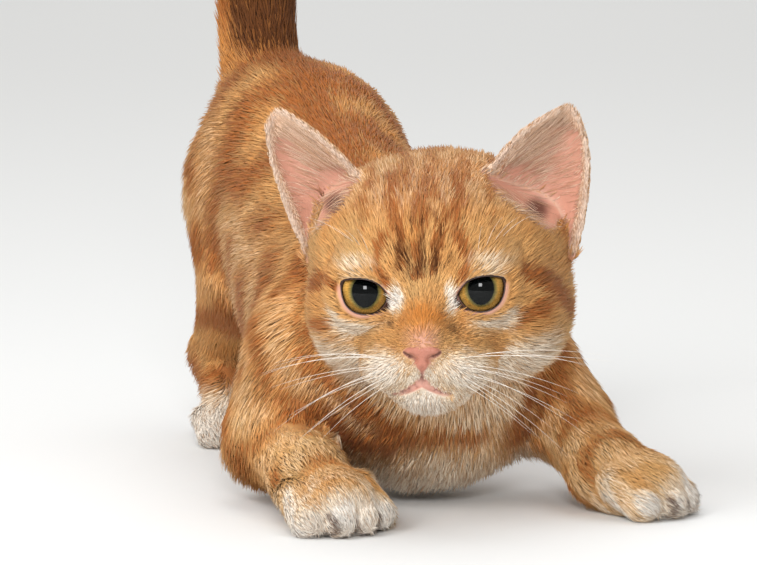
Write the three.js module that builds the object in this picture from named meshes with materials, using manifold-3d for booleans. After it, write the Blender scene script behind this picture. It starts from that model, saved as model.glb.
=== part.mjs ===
// A munchkin cat of about four months, life size, crouched as if about to pounce: chest down between
// splayed forelegs, rump raised on short hind legs, tail up, and the head turned to its right.
// Millimetres, X to the cat's left, Y towards its tail, Z up, and the floor at Z = 0.
//
// The body is one blended field of ellipsoids and tapered limbs, taken out to the tips of the coat.
// It is meshed region by region, finest on the face and feet, and parted with thin cuts.
import * as THREE from "three";
import { mergeVertices } from "three/addons/utils/BufferGeometryUtils.js";
import Module from "manifold-3d";

const wasm = await Module();
wasm.setup();

// Driving dimensions. Places are measured from a point on the floor below the neck.
const origin = { x: 16.4, y: 14.7 }; // from there to the middle of the cat's box
const cut = 0.3; // width of the cuts between neighbouring pieces
const head = { at: [3, -75, 76], yaw: -24.5, pitch: 8, roll: -1.9 };
const eyes = { radius: 9.5, right: [-19.6, -24.2, 3.9], left: [16.6, -24.2, 4.2] };
const ear = { thickness: 2, cup: 9 };
const paw = { foreWidth: 33, foreHeight: 21, hindWidth: 27, hindHeight: 17 };

// The trunk, from the breast back to the hips: centre, half sizes and slope
const trunk = [
  { at: [11, -40, 35], size: [36, 36, 31], slope: 0 },
  { at: [4, -16, 52], size: [41, 36, 40], slope: 0 },
  { at: [3, 16, 61], size: [41, 46, 40], slope: 18 },
  { at: [6, 56, 80], size: [38, 44, 37], slope: 22 },
  { at: [7, 94, 98], size: [39, 40, 39], slope: 8 },
];
const tail = {
  spine: [[1, 108, 105], [0, 122, 132], [0, 130, 165], [1, 130, 200], [3, 124, 235], [7, 113, 264]],
  radii: [17.5, 17, 15.5, 14, 11.5, 6.5],
};
const foreLegs = [
  { side: "right", root: [-26, -30, 50], joint: [-39, -26, 23], foot: [-38, -66, 16], toes: [-31, -98, 6] },
  { side: "left", root: [37, -36, 52], joint: [56, -41, 28], foot: [60, -74, 14], toes: [79, -95, 6] },
];
const hindLegs = [
  { side: "right", root: [-14, 102, 92], joint: [-19, 74, 62], foot: [-20, 112, 32], toes: [-20, 74, 6] },
  { side: "left", root: [27, 104, 92], joint: [35, 78, 62], foot: [36, 114, 32], toes: [35, 77, 6] },
];

// Vectors as plain lists
const plus = (a, b) => a.map((v, i) => v + b[i]);
const minus = (a, b) => a.map((v, i) => v - b[i]);
const times = (a, s) => a.map((v) => v * s);
const dot = (a, b) => a[0] * b[0] + a[1] * b[1] + a[2] * b[2];
const unit = (a) => times(a, 1 / Math.hypot(...a));
const mix = (a, b, t) => plus(times(a, 1 - t), times(b, t));
const degrees = (d) => (d * Math.PI) / 180;
const moved = (matrix, p) => new THREE.Vector3(...p).applyMatrix4(matrix).toArray();
const pair = (make) => [make(-1), make(1)];

// Fields: functions of a point that are negative inside the flesh and near a distance outside it
const ellipsoid = (at, size, slope = 0) => {
  const c = Math.cos(degrees(slope));
  const s = Math.sin(degrees(slope));
  return (p) => {
    const [x, dy, dz] = minus(p, at);
    const y = c * dy + s * dz;
    const z = c * dz - s * dy;
    const near = Math.hypot(x / size[0], y / size[1], z / size[2]);
    const steep = Math.hypot(x / size[0] ** 2, y / size[1] ** 2, z / size[2] ** 2);
    return steep < 1e-9 ? -Math.min(...size) : (near * (near - 1)) / steep;
  };
};
const limb = (from, to, r1, r2) => {
  const along = minus(to, from);
  return (p) => {
    const t = THREE.MathUtils.clamp(dot(minus(p, from), along) / dot(along, along), 0, 1);
    return Math.hypot(...minus(p, plus(from, times(along, t)))) - (r1 + (r2 - r1) * t);
  };
};
const softMin = (a, b, k) => Math.min(a, b) - (Math.max(k - Math.abs(a - b), 0) ** 2 * 0.25) / k;
const blend = (k, ...fields) => (p) => fields.reduce((d, field) => softMin(d, field(p), k), 1e3);
const joined = (...fields) => (p) => Math.min(...fields.map((field) => field(p)));
const hollowed = (field, hollow, k) => (p) => -softMin(-field(p), hollow(p), k);
const placed = (matrix, field) => {
  const inverse = matrix.clone().invert();
  return (p) => field(moved(inverse, p));
};

// Head, in its own frame: X to its left, Y to its back, Z to its crown
const headMatrix = new THREE.Matrix4()
  .makeTranslation(...head.at)
  .multiply(new THREE.Matrix4().makeRotationZ(degrees(head.yaw)))
  .multiply(new THREE.Matrix4().makeRotationX(degrees(head.pitch)))
  .multiply(new THREE.Matrix4().makeRotationY(degrees(head.roll)));
const onHead = (p) => moved(headMatrix, p);
const skull = blend(
  7,
  ellipsoid([0, 8, 6], [40, 38, 31.5]), // braincase
  ...pair((s) => ellipsoid([s * 19, 6, 16], [22, 28, 20])), // corners of the crown, under the ears
  ellipsoid([0, -8, 16.5], [29, 27, 19]), // forehead
  ...pair((s) => ellipsoid([s * 24, 5, -9], [19, 28, 23])), // cheeks
  ...pair((s) => ellipsoid([s * 26, -13, -3], [13, 13, 15])), // cheekbones
  ellipsoid([0, -22, -15], [21, 17, 16]), // face below the eyes
  limb([0, -22, 8], [0, -37.5, -9], 7.5, 6), // bridge of the nose
  ...pair((s) => ellipsoid([s * 9.5, -32.5, -18], [11.5, 10, 8])), // whisker pads
  ellipsoid([0, -30, -26], [11.5, 9, 8.5]), // chin
  ...pair((s) => ellipsoid([s * 16, -23, 13], [11, 7, 5.5])), // brows
);
const faceHollows = joined(
  ...pair((s) => ellipsoid([s * 16, -38, 0], [8, 7, 9])), // beside the bridge, before the eyes
  limb([-5, -44, -24], [5, -44, -24], 2.5, 2.5), // between lip and chin
);
const headField = placed(headMatrix, hollowed(skull, faceHollows, 4));

// Neck, trunk and tail
const neckField = blend(
  10,
  limb(onHead([0, 20, 4]), [4, -18, 60], 33, 38), // nape
  limb(onHead([0, 8, -14]), [8, -36, 40], 26, 33), // throat
);
const trunkField = blend(18, ...trunk.map(({ at, size, slope }) => ellipsoid(at, size, slope)));
const tailField = limb(tail.spine[0], tail.spine[1], tail.radii[0], tail.radii[1]);

// A paw points along its own -Y: a palm, and four toes with the middle two ahead
function pawAt(from, toes, width, height) {
  const ahead = unit([toes[0] - from[0], toes[1] - from[1], 0]);
  const matrix = new THREE.Matrix4()
    .makeTranslation(toes[0], toes[1], 0)
    .multiply(new THREE.Matrix4().makeRotationZ(Math.atan2(ahead[0], -ahead[1])));
  const toeRadius = width * 0.19;
  const toeFields = [-1.5, -0.5, 0.5, 1.5].map((place) => {
    const lag = Math.abs(place) > 1 ? 5 : 0;
    const knuckle = [place * width * 0.22, 14 + lag, height * 0.55];
    const tip = [place * width * 0.25, 3.5 + lag, toeRadius * 0.85];
    return limb(knuckle, tip, toeRadius * 1.05, toeRadius);
  });
  const palm = ellipsoid([0, 16, height * 0.42], [width * 0.44, 16, height * 0.55]);
  return { matrix, field: placed(matrix, blend(1.6, palm, ...toeFields)) };
}

// A leg: three spans of flesh, each with the radii at its ends
const foreRadii = [[22, 15.5], [14.5, 12], [12, 9.5]];
const hindRadii = [[20, 14], [12.5, 9.5], [9.5, 8]];
function legOf(leg, kind) {
  const fore = kind === "fore";
  const [upper, lower, last] = fore ? foreRadii : hindRadii;
  const [width, height] = fore ? [paw.foreWidth, paw.foreHeight] : [paw.hindWidth, paw.hindHeight];
  const paws = pawAt(leg.foot, leg.toes, width, height);
  const heel = moved(paws.matrix, [0, 17, fore ? 10 : 8]);
  const spans = [
    { from: leg.root, to: leg.joint, radii: upper },
    { from: leg.joint, to: leg.foot, radii: lower },
    { from: leg.foot, to: heel, radii: last },
  ];
  const [upperLimb, lowerLimb, lastLimb] = spans.map(({ from, to, radii }) => limb(from, to, ...radii));
  const thigh = { at: plus(mix(leg.root, leg.joint, 0.5), [0, 8, -3]), size: [15, 27, 33] };
  const upperFlesh = fore ? upperLimb : blend(8, upperLimb, ellipsoid(thigh.at, thigh.size));
  const flesh = blend(fore ? 8 : 14, upperFlesh, blend(8, lowerLimb, lastLimb));
  const field = blend(3, flesh, paws.field);
  return { ...leg, fore, spans, thigh, heel, paws, field };
}
const allLegs = [...foreLegs.map((leg) => legOf(leg, "fore")), ...hindLegs.map((leg) => legOf(leg, "hind"))];
const bodyField = blend(12, headField, neckField, trunkField);
const fleshField = blend(9, bodyField, tailField, ...allLegs.map((leg) => leg.field));

// Grid lines along one axis: from a start to each end in turn, at about the step given with it
function lines(start, ...ends) {
  const all = [start];
  for (const [end, step] of ends) {
    const from = all.at(-1);
    const count = Math.round((end - from) / step);
    for (let i = 1; i <= count; i++) all.push(from + ((end - from) * i) / count);
  }
  return all;
}

// Surface net on a grid: one vertex in each cell that the surface crosses, drawn onto the surface
function netOf(field, grid, matrix = new THREE.Matrix4()) {
  const counts = grid.map((axis) => axis.length);
  const place = (cell) => moved(matrix, cell.map((v, axis) => grid[axis][v]));
  const index = (cell) => (cell[2] * counts[1] + cell[1]) * counts[0] + cell[0];
  const everyCell = (visit) => {
    for (let k = 0; k < counts[2] - 1; k++)
      for (let j = 0; j < counts[1] - 1; j++)
        for (let i = 0; i < counts[0] - 1; i++) visit([i, j, k]);
  };
  const values = new Float32Array(counts[0] * counts[1] * counts[2]).fill(1);
  everyCell((cell) => {
    if (cell.every((v) => v > 0)) values[index(cell)] = field(place(cell)) || 1e-6;
  });
  const step = (cell, axis) => cell.map((v, i) => v + (i === axis ? 1 : 0));
  const faceOf = (cell, u, v) => [cell, step(cell, u), step(step(cell, u), v), step(cell, v)].map(index);
  unpinch(values, everyCell, faceOf);
  const corners = [0, 1, 2, 3, 4, 5, 6, 7].map((c) => [c & 1, (c >> 1) & 1, c >> 2]);
  const edges = corners.flatMap((a) => [0, 1, 2].filter((axis) => !a[axis]).map((axis) => [a, axis]));
  const points = [];
  const vertexOf = new Map();
  everyCell((cell) => {
    const met = [];
    for (const [corner, axis] of edges) {
      const a = plus(cell, corner);
      const b = step(a, axis);
      const [f, g] = [values[index(a)], values[index(b)]];
      if (f < 0 !== g < 0) met.push(mix(place(a), place(b), f / (f - g)));
    }
    if (!met.length) return;
    const middle = times(met.reduce(plus), 1 / met.length);
    const size = Math.min(...[0, 1, 2].map((axis) => grid[axis][cell[axis] + 1] - grid[axis][cell[axis]]));
    const within = cell.every((v, axis) => v > 0 && v < counts[axis] - 2);
    vertexOf.set(index(cell), points.length);
    points.push(within ? drawnOnto(field, middle, size) : middle);
  });
  const triangles = [];
  const length = (a, b) => Math.hypot(...minus(points[a], points[b]));
  everyCell((cell) => {
    for (let axis = 0; axis < 3; axis++) {
      const f = values[index(cell)];
      if (f < 0 === values[index(step(cell, axis))] < 0) continue;
      const [u, v] = [(axis + 1) % 3, (axis + 2) % 3];
      const around = [[0, 0], [1, 0], [1, 1], [0, 1]].map(([du, dv]) => {
        const other = [...cell];
        other[u] -= du;
        other[v] -= dv;
        return vertexOf.get(index(other));
      });
      const [a, b, c, d] = f < 0 ? around : around.reverse();
      if (length(a, c) > length(b, d)) triangles.push(a, b, d, b, c, d);
      else triangles.push(a, b, c, a, c, d);
    }
  });
  return new THREE.BufferGeometry()
    .setAttribute("position", new THREE.Float32BufferAttribute(points.flat(), 3))
    .setIndex(triangles);
}

// Two sheets would touch along an edge where a cell's face has flesh at two opposite corners only, so
// a third corner of such a face is filled
function unpinch(values, everyCell, faceOf) {
  let pinched = true;
  while (pinched) {
    pinched = false;
    everyCell((cell) => {
      for (let axis = 0; axis < 3; axis++) {
        const face = faceOf(cell, (axis + 1) % 3, (axis + 2) % 3);
        const [a, b, c, d] = face.map((i) => values[i] < 0);
        if (a !== c || b !== d || a === b) continue;
        values[face[a ? 1 : 0]] = -1e-3;
        pinched = true;
      }
    });
  }
}

// The surface point near a cell's middle, by a few short moves down the field's slope
function drawnOnto(field, start, size) {
  let p = start;
  for (let turn = 0; turn < 3; turn++) {
    const f = field(p);
    const slope = [0, 1, 2].map((axis) => (field(p.map((v, i) => (i === axis ? v + 0.1 : v))) - f) / 0.1);
    const steep = dot(slope, slope);
    if (steep < 0.05) break;
    const move = times(slope, -f / steep);
    p = plus(p, times(move, Math.min(1, (0.35 * size) / (Math.hypot(...move) + 1e-9))));
  }
  return Math.hypot(...minus(p, start)) < 0.8 * size ? p : start;
}

// Solids
function solidOf(geometry) {
  const bare = geometry.clone();
  bare.deleteAttribute("normal");
  bare.deleteAttribute("uv");
  const merged = mergeVertices(bare, 1e-4);
  const { array } = merged.index;
  const triangles = [];
  for (let i = 0; i < array.length; i += 3) {
    const [a, b, c] = array.slice(i, i + 3);
    if (a !== b && b !== c && c !== a) triangles.push(a, b, c);
  }
  const mesh = new wasm.Mesh({
    numProp: 3,
    vertProperties: new Float32Array(merged.attributes.position.array),
    triVerts: new Uint32Array(triangles),
  });
  return new wasm.Manifold(mesh);
}
const solidNet = (field, grid, matrix) => solidOf(netOf(field, grid, matrix));
const towards = (normal, axis) =>
  new THREE.Quaternion().setFromUnitVectors(axis, new THREE.Vector3(...unit(normal)));

// The space on one side of a plane cut, half the cut's width away from it
function half({ point, normal }, side) {
  const size = 900;
  const box = new THREE.BoxGeometry(size, size, size).translate(0, 0, size / 2 + cut / 2);
  const turn = towards(times(normal, side), new THREE.Vector3(0, 0, 1));
  return solidOf(box.applyQuaternion(turn).translate(...point));
}
const ahead = (plane) => half(plane, 1);
const behind = (plane) => half(plane, -1);
const within = (solid, ...regions) => regions.reduce((kept, region) => kept.intersect(region), solid);
const without = (solid, ...regions) => regions.reduce((kept, region) => kept.subtract(region), solid);
const union = (...solids) => solids.reduce((all, solid) => all.add(solid));

// A plain round-ended body about one span of a leg, which cuts the leg out of the flesh round it
function spanSolid({ from, to, radii }, grow) {
  const long = Math.hypot(...minus(to, from));
  const [r1, r2] = radii.map((r) => r * 1.07 + grow);
  const turns = [90, 45, 0].map(degrees);
  const profile = [
    ...turns.map((t) => new THREE.Vector2(r1 * Math.cos(t), -r1 * Math.sin(t))),
    ...turns.reverse().map((t) => new THREE.Vector2(r2 * Math.cos(t), long + r2 * Math.sin(t))),
  ];
  profile[0].x = 0;
  profile.at(-1).x = 0;
  const shape = new THREE.LatheGeometry(profile, 8);
  const turn = towards(minus(to, from), new THREE.Vector3(0, 1, 0));
  return solidOf(shape.applyQuaternion(turn).translate(...from));
}
const ovalSolid = (at, size, detail = [7, 5]) =>
  solidOf(new THREE.SphereGeometry(1, ...detail).scale(...size).translate(...at));

// Meshes
const colours = { coat: 0xc98549, pale: 0xe6cfae, skin: 0xc98a78, eye: 0x8a6a1c };
const cat = new THREE.Group();
cat.position.set(-origin.x, -origin.y, 0);

// A cut can leave a crumb beside the piece, so only the triangles of the largest body are kept
function largestBody(mesh) {
  const owner = Array.from({ length: mesh.numVert }, (_, i) => i);
  const find = (i) => {
    while (owner[i] !== i) i = owner[i] = owner[owner[i]];
    return i;
  };
  for (let i = 0; i < mesh.triVerts.length; i += 3) {
    owner[find(mesh.triVerts[i])] = find(mesh.triVerts[i + 1]);
    owner[find(mesh.triVerts[i + 1])] = find(mesh.triVerts[i + 2]);
  }
  const bodies = new Map();
  for (let i = 0; i < mesh.triVerts.length; i += 3) {
    const body = find(mesh.triVerts[i]);
    if (!bodies.has(body)) bodies.set(body, []);
    bodies.get(body).push(...mesh.triVerts.slice(i, i + 3));
  }
  return [...bodies.values()].reduce((a, b) => (a.length > b.length ? a : b));
}
const overFloor = solidOf(new THREE.BoxGeometry(900, 900, 900).translate(0, 0, 450));
function add(name, solid, color, roughness = 0.8) {
  const mesh = solid.intersect(overFloor).getMesh();
  const geometry = new THREE.BufferGeometry()
    .setAttribute("position", new THREE.Float32BufferAttribute(mesh.vertProperties, 3))
    .setIndex(largestBody(mesh));
  geometry.computeVertexNormals();
  const part = new THREE.Mesh(geometry, new THREE.MeshStandardMaterial({ color, roughness, metalness: 0 }));
  part.name = name;
  cat.add(part);
}

// Where the body is parted: a hollow round the back of the head, and planes
const headRegion = (grow) =>
  solidOf(
    new THREE.SphereGeometry(1, 11, 7)
      .scale(62 + grow, 49 + grow, 50 + grow)
      .translate(0, -6, 4)
      .applyMatrix4(headMatrix),
  );
const cuts = {
  neck: { point: [0, -42, 72], normal: [0, -1, 1.1] },
  ribs: { point: [0, 24, 66], normal: [0, -1, -0.3] },
  loin: { point: [0, 72, 90], normal: [0, -1, -0.3] },
  tail: { point: mix(tail.spine[0], tail.spine[1], 0.85), normal: minus(tail.spine[1], tail.spine[0]) },
};
const legRegion = (leg, grow) => {
  const outward = leg.side === "left" ? 1 : -1;
  const inboard = { point: [4 + 9 * outward, 0, 0], normal: [outward, 0, 0] };
  const toes = ovalSolid(moved(leg.paws.matrix, [0, 14, 8]), [23 + grow, 24 + grow, 17 + grow]);
  const thigh = leg.fore ? [] : [ovalSolid(leg.thigh.at, leg.thigh.size.map((v) => v + grow))];
  const all = union(...leg.spans.map((span) => spanSolid(span, grow)), toes, ...thigh);
  // The left arm is splayed well clear of the middle; the other legs are stopped short of it
  return leg.fore && leg.side === "left" ? all : within(all, ahead(inboard));
};
const reach = 4.5;
for (const leg of allLegs) {
  leg.region = legRegion(leg, reach);
  leg.clearance = legRegion(leg, reach + cut);
}
const clearances = allLegs.map((leg) => leg.clearance);

// Head, nose and eyes
const headGrid = [
  lines(-54, [-25, 9.6], [25, 4.9], [54, 9.6]),
  lines(-50, [-20, 4.8], [46, 13]),
  lines(-44, [18, 5], [56, 10]),
];
const headSolid = within(solidNet(fleshField, headGrid, headMatrix), headRegion(0));
const headClearance = solidNet((p) => fleshField(p) - 0.6, headGrid, headMatrix);
const eyeSolid = (side, grow) => ovalSolid(onHead(eyes[side]), [0, 0, 0].fill(eyes.radius + grow), [12, 8]);
const noseSolid = (grow) =>
  solidOf(
    new THREE.SphereGeometry(1, 10, 7)
      .scale(6.6 + grow, 5 + grow, 4.6 + grow)
      .translate(0, -43, -12)
      .applyMatrix4(headMatrix),
  );
add("head", without(headSolid, eyeSolid("right", cut), eyeSolid("left", cut), noseSolid(cut)), colours.coat);
add("nose", within(headSolid, noseSolid(0)), colours.skin, 0.5);
add("eye_right", eyeSolid("right", 0), colours.eye, 0.1);
add("eye_left", eyeSolid("left", 0), colours.eye, 0.1);

// An ear is a thin leaf between two edges that rise from the head and meet at the tip
const earEdges = {
  right: {
    inner: [[-18, 5, 26], [-26, 1, 39.5], [-36, 0, 50.5], [-46.5, 3, 55]],
    outer: [[-42, 6, 6], [-46.5, 7, 20], [-53, 6, 36], [-52.5, 4, 50]],
  },
  left: {
    inner: [[13, 5, 26], [19, 1, 39.5], [29, 0, 50], [40, 3, 53.5]],
    outer: [[43, 6, 5], [48.5, 7, 22], [51, 6, 41], [46.5, 4, 50.5]],
  },
};
const bezier = (ends, t) =>
  ends.length === 1 ? ends[0] : bezier(ends.slice(1).map((end, i) => mix(ends[i], end, t)), t);
function earShape({ inner, outer }) {
  const shape = new THREE.BoxGeometry(1, 1, 1, 4, 5, 1);
  const { position } = shape.attributes;
  for (let i = 0; i < position.count; i++) {
    const [side, rise, face] = [position.getX(i) * 2, position.getY(i) + 0.5, position.getZ(i) * 2];
    const edges = mix(bezier(inner, rise), bezier(outer, rise), (side + 1) / 2);
    const depth = ear.cup * (1 - side * side) * Math.sqrt(1 - 0.8 * rise) + (face * ear.thickness) / 2;
    const roundTip = 1.5 * (1 - side * side) * rise ** 4;
    position.setXYZ(i, ...onHead(plus(edges, [0, depth, roundTip])));
  }
  return outer[0][0] < inner[0][0] ? shape : turned(shape);
}
function turned(shape) {
  const { array } = shape.index;
  for (let i = 0; i < array.length; i += 3) [array[i + 1], array[i + 2]] = [array[i + 2], array[i + 1]];
  return shape;
}
for (const [side, edges] of Object.entries(earEdges))
  add("ear_" + side, without(solidOf(earShape(edges)), headClearance), colours.skin);

// Neck and trunk
const neckGrid = [lines(-64, [74, 11.2]), lines(-96, [20, 11.6]), lines(-10, [134, 11.2])];
const neckSolid = solidNet(fleshField, neckGrid);
add("neck", within(without(neckSolid, headRegion(cut), ...clearances), ahead(cuts.neck)), colours.coat);
const trunkGrid = [lines(-63, [73, 15]), lines(-93, [160, 17]), lines(-12, [152, 15])];
const trunkSolid = without(solidNet(fleshField, trunkGrid), headRegion(cut), ...clearances);
add("chest", within(trunkSolid, behind(cuts.neck), ahead(cuts.ribs)), colours.coat);
add("belly", within(trunkSolid, behind(cuts.ribs), ahead(cuts.loin)), colours.coat);
add("rump", within(trunkSolid, behind(cuts.loin), behind(cuts.tail)), colours.coat);

// Legs: upper and lower length, and the paw on a finer net in its own frame
const legNames = { fore: ["upper_arm_", "forearm_", "forepaw_"], hind: ["thigh_", "shank_", "hind_paw_"] };
const pawGrid = [lines(-30, [30, 5.2]), lines(-10, [40, 5.9]), lines(-10, [40, 5.2])];
for (const leg of allLegs) {
  const names = legNames[leg.fore ? "fore" : "hind"];
  const elbow = leg.fore
    ? { point: mix(leg.joint, leg.foot, 0.1), normal: minus(leg.foot, leg.joint) }
    : { point: mix(leg.joint, leg.foot, 0.35), normal: [0, 0.3, -1] };
  const wristAt = leg.fore ? mix(leg.foot, leg.heel, 0.35) : mix(leg.foot, leg.heel, 0.65);
  const wrist = { point: wristAt, normal: [leg.toes[0] - wristAt[0], leg.toes[1] - wristAt[1], -6] };
  const ends = leg.spans.flatMap(({ from, to }) => [from, to]);
  const grid = [0, 1, 2].map((axis) => {
    const along = ends.map((p) => p[axis]);
    const low = Math.max(Math.min(...along) - 36, axis === 2 ? -12 : -200);
    return lines(low, [Math.max(...along) + 36, leg.fore ? 9 : 12]);
  });
  const flesh = without(within(solidNet(fleshField, grid), leg.region), headRegion(cut));
  const foot = within(solidNet(fleshField, pawGrid, leg.paws.matrix), leg.region, ahead(wrist));
  add(names[0] + leg.side, within(flesh, behind(elbow)), colours.coat);
  add(names[1] + leg.side, within(flesh, ahead(elbow), behind(wrist)), colours.coat);
  add(names[2] + leg.side, foot, colours.pale);
}

// Tail: a lathed body bent along the spine, in three lengths
const spine = new THREE.CatmullRomCurve3(tail.spine.map((p) => new THREE.Vector3(...p)));
const tailProfile = lines(0, [0.84, 0.084], [1, 0.04]).map((t) => {
  const at = t * (tail.radii.length - 1);
  const i = Math.min(Math.floor(at), tail.radii.length - 2);
  const radius = THREE.MathUtils.lerp(tail.radii[i], tail.radii[i + 1], at - i);
  return new THREE.Vector2(t === 0 || t === 1 ? 0 : radius * Math.sqrt(1 - t ** 12), t);
});
const tailShape = new THREE.LatheGeometry(tailProfile, 12);
const tailVertices = tailShape.attributes.position;
for (let i = 0; i < tailVertices.count; i++) {
  const along = tailVertices.getY(i);
  const aim = towards(spine.getTangentAt(along).toArray(), new THREE.Vector3(0, 0, 1));
  const off = new THREE.Vector3(tailVertices.getX(i), -tailVertices.getZ(i), 0).applyQuaternion(aim);
  tailVertices.setXYZ(i, ...spine.getPointAt(along).add(off));
}
const tailSolid = within(solidOf(tailShape), ahead(cuts.tail));
const tailCuts = [0.42, 0.76].map((t) => ({
  point: spine.getPointAt(t).toArray(),
  normal: spine.getTangentAt(t).toArray(),
}));
add("tail_base", within(tailSolid, behind(tailCuts[0])), colours.coat);
add("tail_middle", within(tailSolid, ahead(tailCuts[0]), behind(tailCuts[1])), colours.coat);
add("tail_tip", within(tailSolid, ahead(tailCuts[1])), colours.coat);

export default cat;
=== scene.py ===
import math

import bmesh
import bpy
import numpy as np
from mathutils import Matrix, Vector
from mathutils.bvhtree import BVHTree
from mathutils.kdtree import KDTree


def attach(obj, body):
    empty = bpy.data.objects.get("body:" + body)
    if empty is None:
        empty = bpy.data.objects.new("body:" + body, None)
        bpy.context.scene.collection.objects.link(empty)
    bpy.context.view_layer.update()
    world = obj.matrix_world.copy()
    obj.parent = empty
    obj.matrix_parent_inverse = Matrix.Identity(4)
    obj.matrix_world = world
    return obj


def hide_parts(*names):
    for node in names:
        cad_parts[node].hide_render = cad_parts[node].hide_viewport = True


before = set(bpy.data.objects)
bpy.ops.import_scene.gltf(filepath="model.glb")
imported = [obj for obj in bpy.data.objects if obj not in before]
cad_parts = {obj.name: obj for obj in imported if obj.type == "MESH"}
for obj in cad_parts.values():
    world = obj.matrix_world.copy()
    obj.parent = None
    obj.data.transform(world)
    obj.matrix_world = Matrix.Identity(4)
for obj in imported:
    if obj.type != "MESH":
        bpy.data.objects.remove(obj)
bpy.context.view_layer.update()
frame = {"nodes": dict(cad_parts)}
nodes = frame["nodes"]
print("frame loaded")

# The cat is worked in millimetres from a point on the floor under its neck, as its solids are:
# X to its left, Y to its tail, Z up. toRow() gives a place in the model's own metres.
rowShift = np.array([16.4, 14.7, 0.0])
cameraSetup = {"place": (-0.4084, -1.3182, 0.2344), "pan": 17.0, "tilt": 7.0, "lens": 195.36}


def toRow(p):
    return (np.asarray(p, float) - rowShift) / 1000


def toCat(p):
    return np.asarray(p, float) * 1000 + rowShift


def turned(x, y, z):
    turn = Matrix.Rotation(math.radians(z), 3, "Z") @ Matrix.Rotation(math.radians(x), 3, "X")
    return np.array(turn @ Matrix.Rotation(math.radians(y), 3, "Y"))


def smooth(low, high, x):
    t = np.clip((x - low) / (high - low), 0, 1)
    return t * t * (3 - 2 * t)


def unit(v):
    return v / np.maximum(np.linalg.norm(v, axis=-1, keepdims=True), 1e-9)


def dotRows(a, b):
    return np.einsum("ij,ij->i", a, b)


# The solids have the same measures
head = {"at": (3, -75, 76), "yaw": -24.5, "pitch": 8, "roll": -1.9}
trunk = [
    {"at": (11, -40, 35), "size": (36, 36, 31), "slope": 0},
    {"at": (4, -16, 52), "size": (41, 36, 40), "slope": 0},
    {"at": (3, 16, 61), "size": (41, 46, 40), "slope": 18},
    {"at": (6, 56, 80), "size": (38, 44, 37), "slope": 22},
    {"at": (7, 94, 98), "size": (39, 40, 39), "slope": 8},
]
tail = {
    "spine": [(1, 108, 105), (0, 122, 132), (0, 130, 165), (1, 130, 200), (3, 124, 235), (7, 113, 264)],
    "radii": [17.5, 17, 15.5, 14, 11.5, 6.5],
}
legPlaces = {  # root, joint, foot and toes
    "foreRight": ((-26, -30, 50), (-39, -26, 23), (-38, -66, 16), (-31, -98, 6)),
    "foreLeft": ((37, -36, 52), (56, -41, 28), (60, -74, 14), (79, -95, 6)),
    "hindRight": ((-14, 102, 92), (-19, 74, 62), (-20, 112, 32), (-20, 74, 6)),
    "hindLeft": ((27, 104, 92), (35, 78, 62), (36, 114, 32), (35, 77, 6)),
}
legs = [dict(zip(("root", "joint", "foot", "toes"), at), name=name) for name, at in legPlaces.items()]
legSizes = {
    "fore": {"radii": ((22, 15.5), (14.5, 12), (12, 9.5)), "width": 33, "height": 21, "heel": 10},
    "hind": {"radii": ((20, 14), (12.5, 9.5), (9.5, 8)), "width": 27, "height": 17, "heel": 8},
}
earShape = {
    "thickness": 1.3,
    "cup": 9,
    # bowls in front of the ears: middle in the face's plane, turn, how far forward, half sizes
    "bowls": [((-36.4, 54.2), 52.8, 11, (22, 13, 20)), ((38.2, 55.6), -35.1, 20, (24, 13, 21))],
    # middles of the ear canals' painted shade, in the face's plane from the nose
    "canals": [(-27.0, 48.5), (36.5, 46.8)],
    "right": {
        "inner": ((-18, 5, 26), (-26, 1, 39.5), (-36, 0, 50.5), (-46.5, 3, 55)),
        "outer": ((-42, 6, 6), (-46.5, 7, 20), (-53, 6, 36), (-52.5, 4, 50)),
    },
    "left": {
        "inner": ((13, 5, 26), (19, 1, 39.5), (29, 0, 50), (40, 3, 53.5)),
        "outer": ((43, 6, 5), (48.5, 7, 22), (51, 6, 41), (46.5, 4, 50.5)),
    },
}


# Distances to simple forms, negative inside, for many points at once
def ellipsoid(p, at, size, slope=0):
    d = p - np.array(at, float)
    if slope:
        c, s = math.cos(math.radians(slope)), math.sin(math.radians(slope))
        d = np.stack([d[:, 0], c * d[:, 1] + s * d[:, 2], c * d[:, 2] - s * d[:, 1]], 1)
    size = np.array(size, float)
    near = np.linalg.norm(d / size, axis=1)
    steep = np.linalg.norm(d / size**2, axis=1)
    return near * (near - 1) / np.maximum(steep, 1e-6)


def toSpan(p, a, b):
    a, b = np.array(a, float), np.array(b, float)
    t = np.clip((p - a) @ (b - a) / ((b - a) @ (b - a)), 0, 1)
    return np.linalg.norm(p - a - t[:, None] * (b - a), axis=1), t


def limb(p, a, b, r1, r2):
    d, t = toSpan(p, a, b)
    return d - (r1 + (r2 - r1) * t)


def softMin(a, b, k):
    return np.minimum(a, b) - np.maximum(k - np.abs(a - b), 0) ** 2 * 0.25 / k


def blended(k, *distances):
    total = distances[0]
    for d in distances[1:]:
        total = softMin(total, d, k)
    return total


headTurn = turned(head["pitch"], head["roll"], head["yaw"])


def toHead(p):
    return (p - np.array(head["at"], float)) @ headTurn


def onHead(q):
    return np.asarray(q, float) @ headTurn.T + np.array(head["at"], float)


skullForms = {  # middle and half sizes; a form beside the middle has a twin
    "skull": [
        ((0, 8, 6), (40, 38, 31.5)),  # braincase
        ((-19, 6, 16), (22, 28, 20)),
        ((0, -8, 16.5), (29, 27, 19)),  # forehead
        ((-24, 5, -9), (19, 28, 23)),  # cheeks
        ((-26, -13, -3), (13, 13, 15)),
        ((0, -22, -15), (21, 17, 16)),  # face below the eyes
    ],
    "muzzle": [
        ((-9.5, -32.5, -18), (11.5, 10, 8)),  # whisker pads
        ((0, -30, -26), (11.5, 9, 8.5)),  # chin
        ((-16, -23, 13), (11, 7, 5.5)),  # brows
    ],
    "hollows": [((-16, -38, 0), (8, 7, 9))],
}


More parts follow.
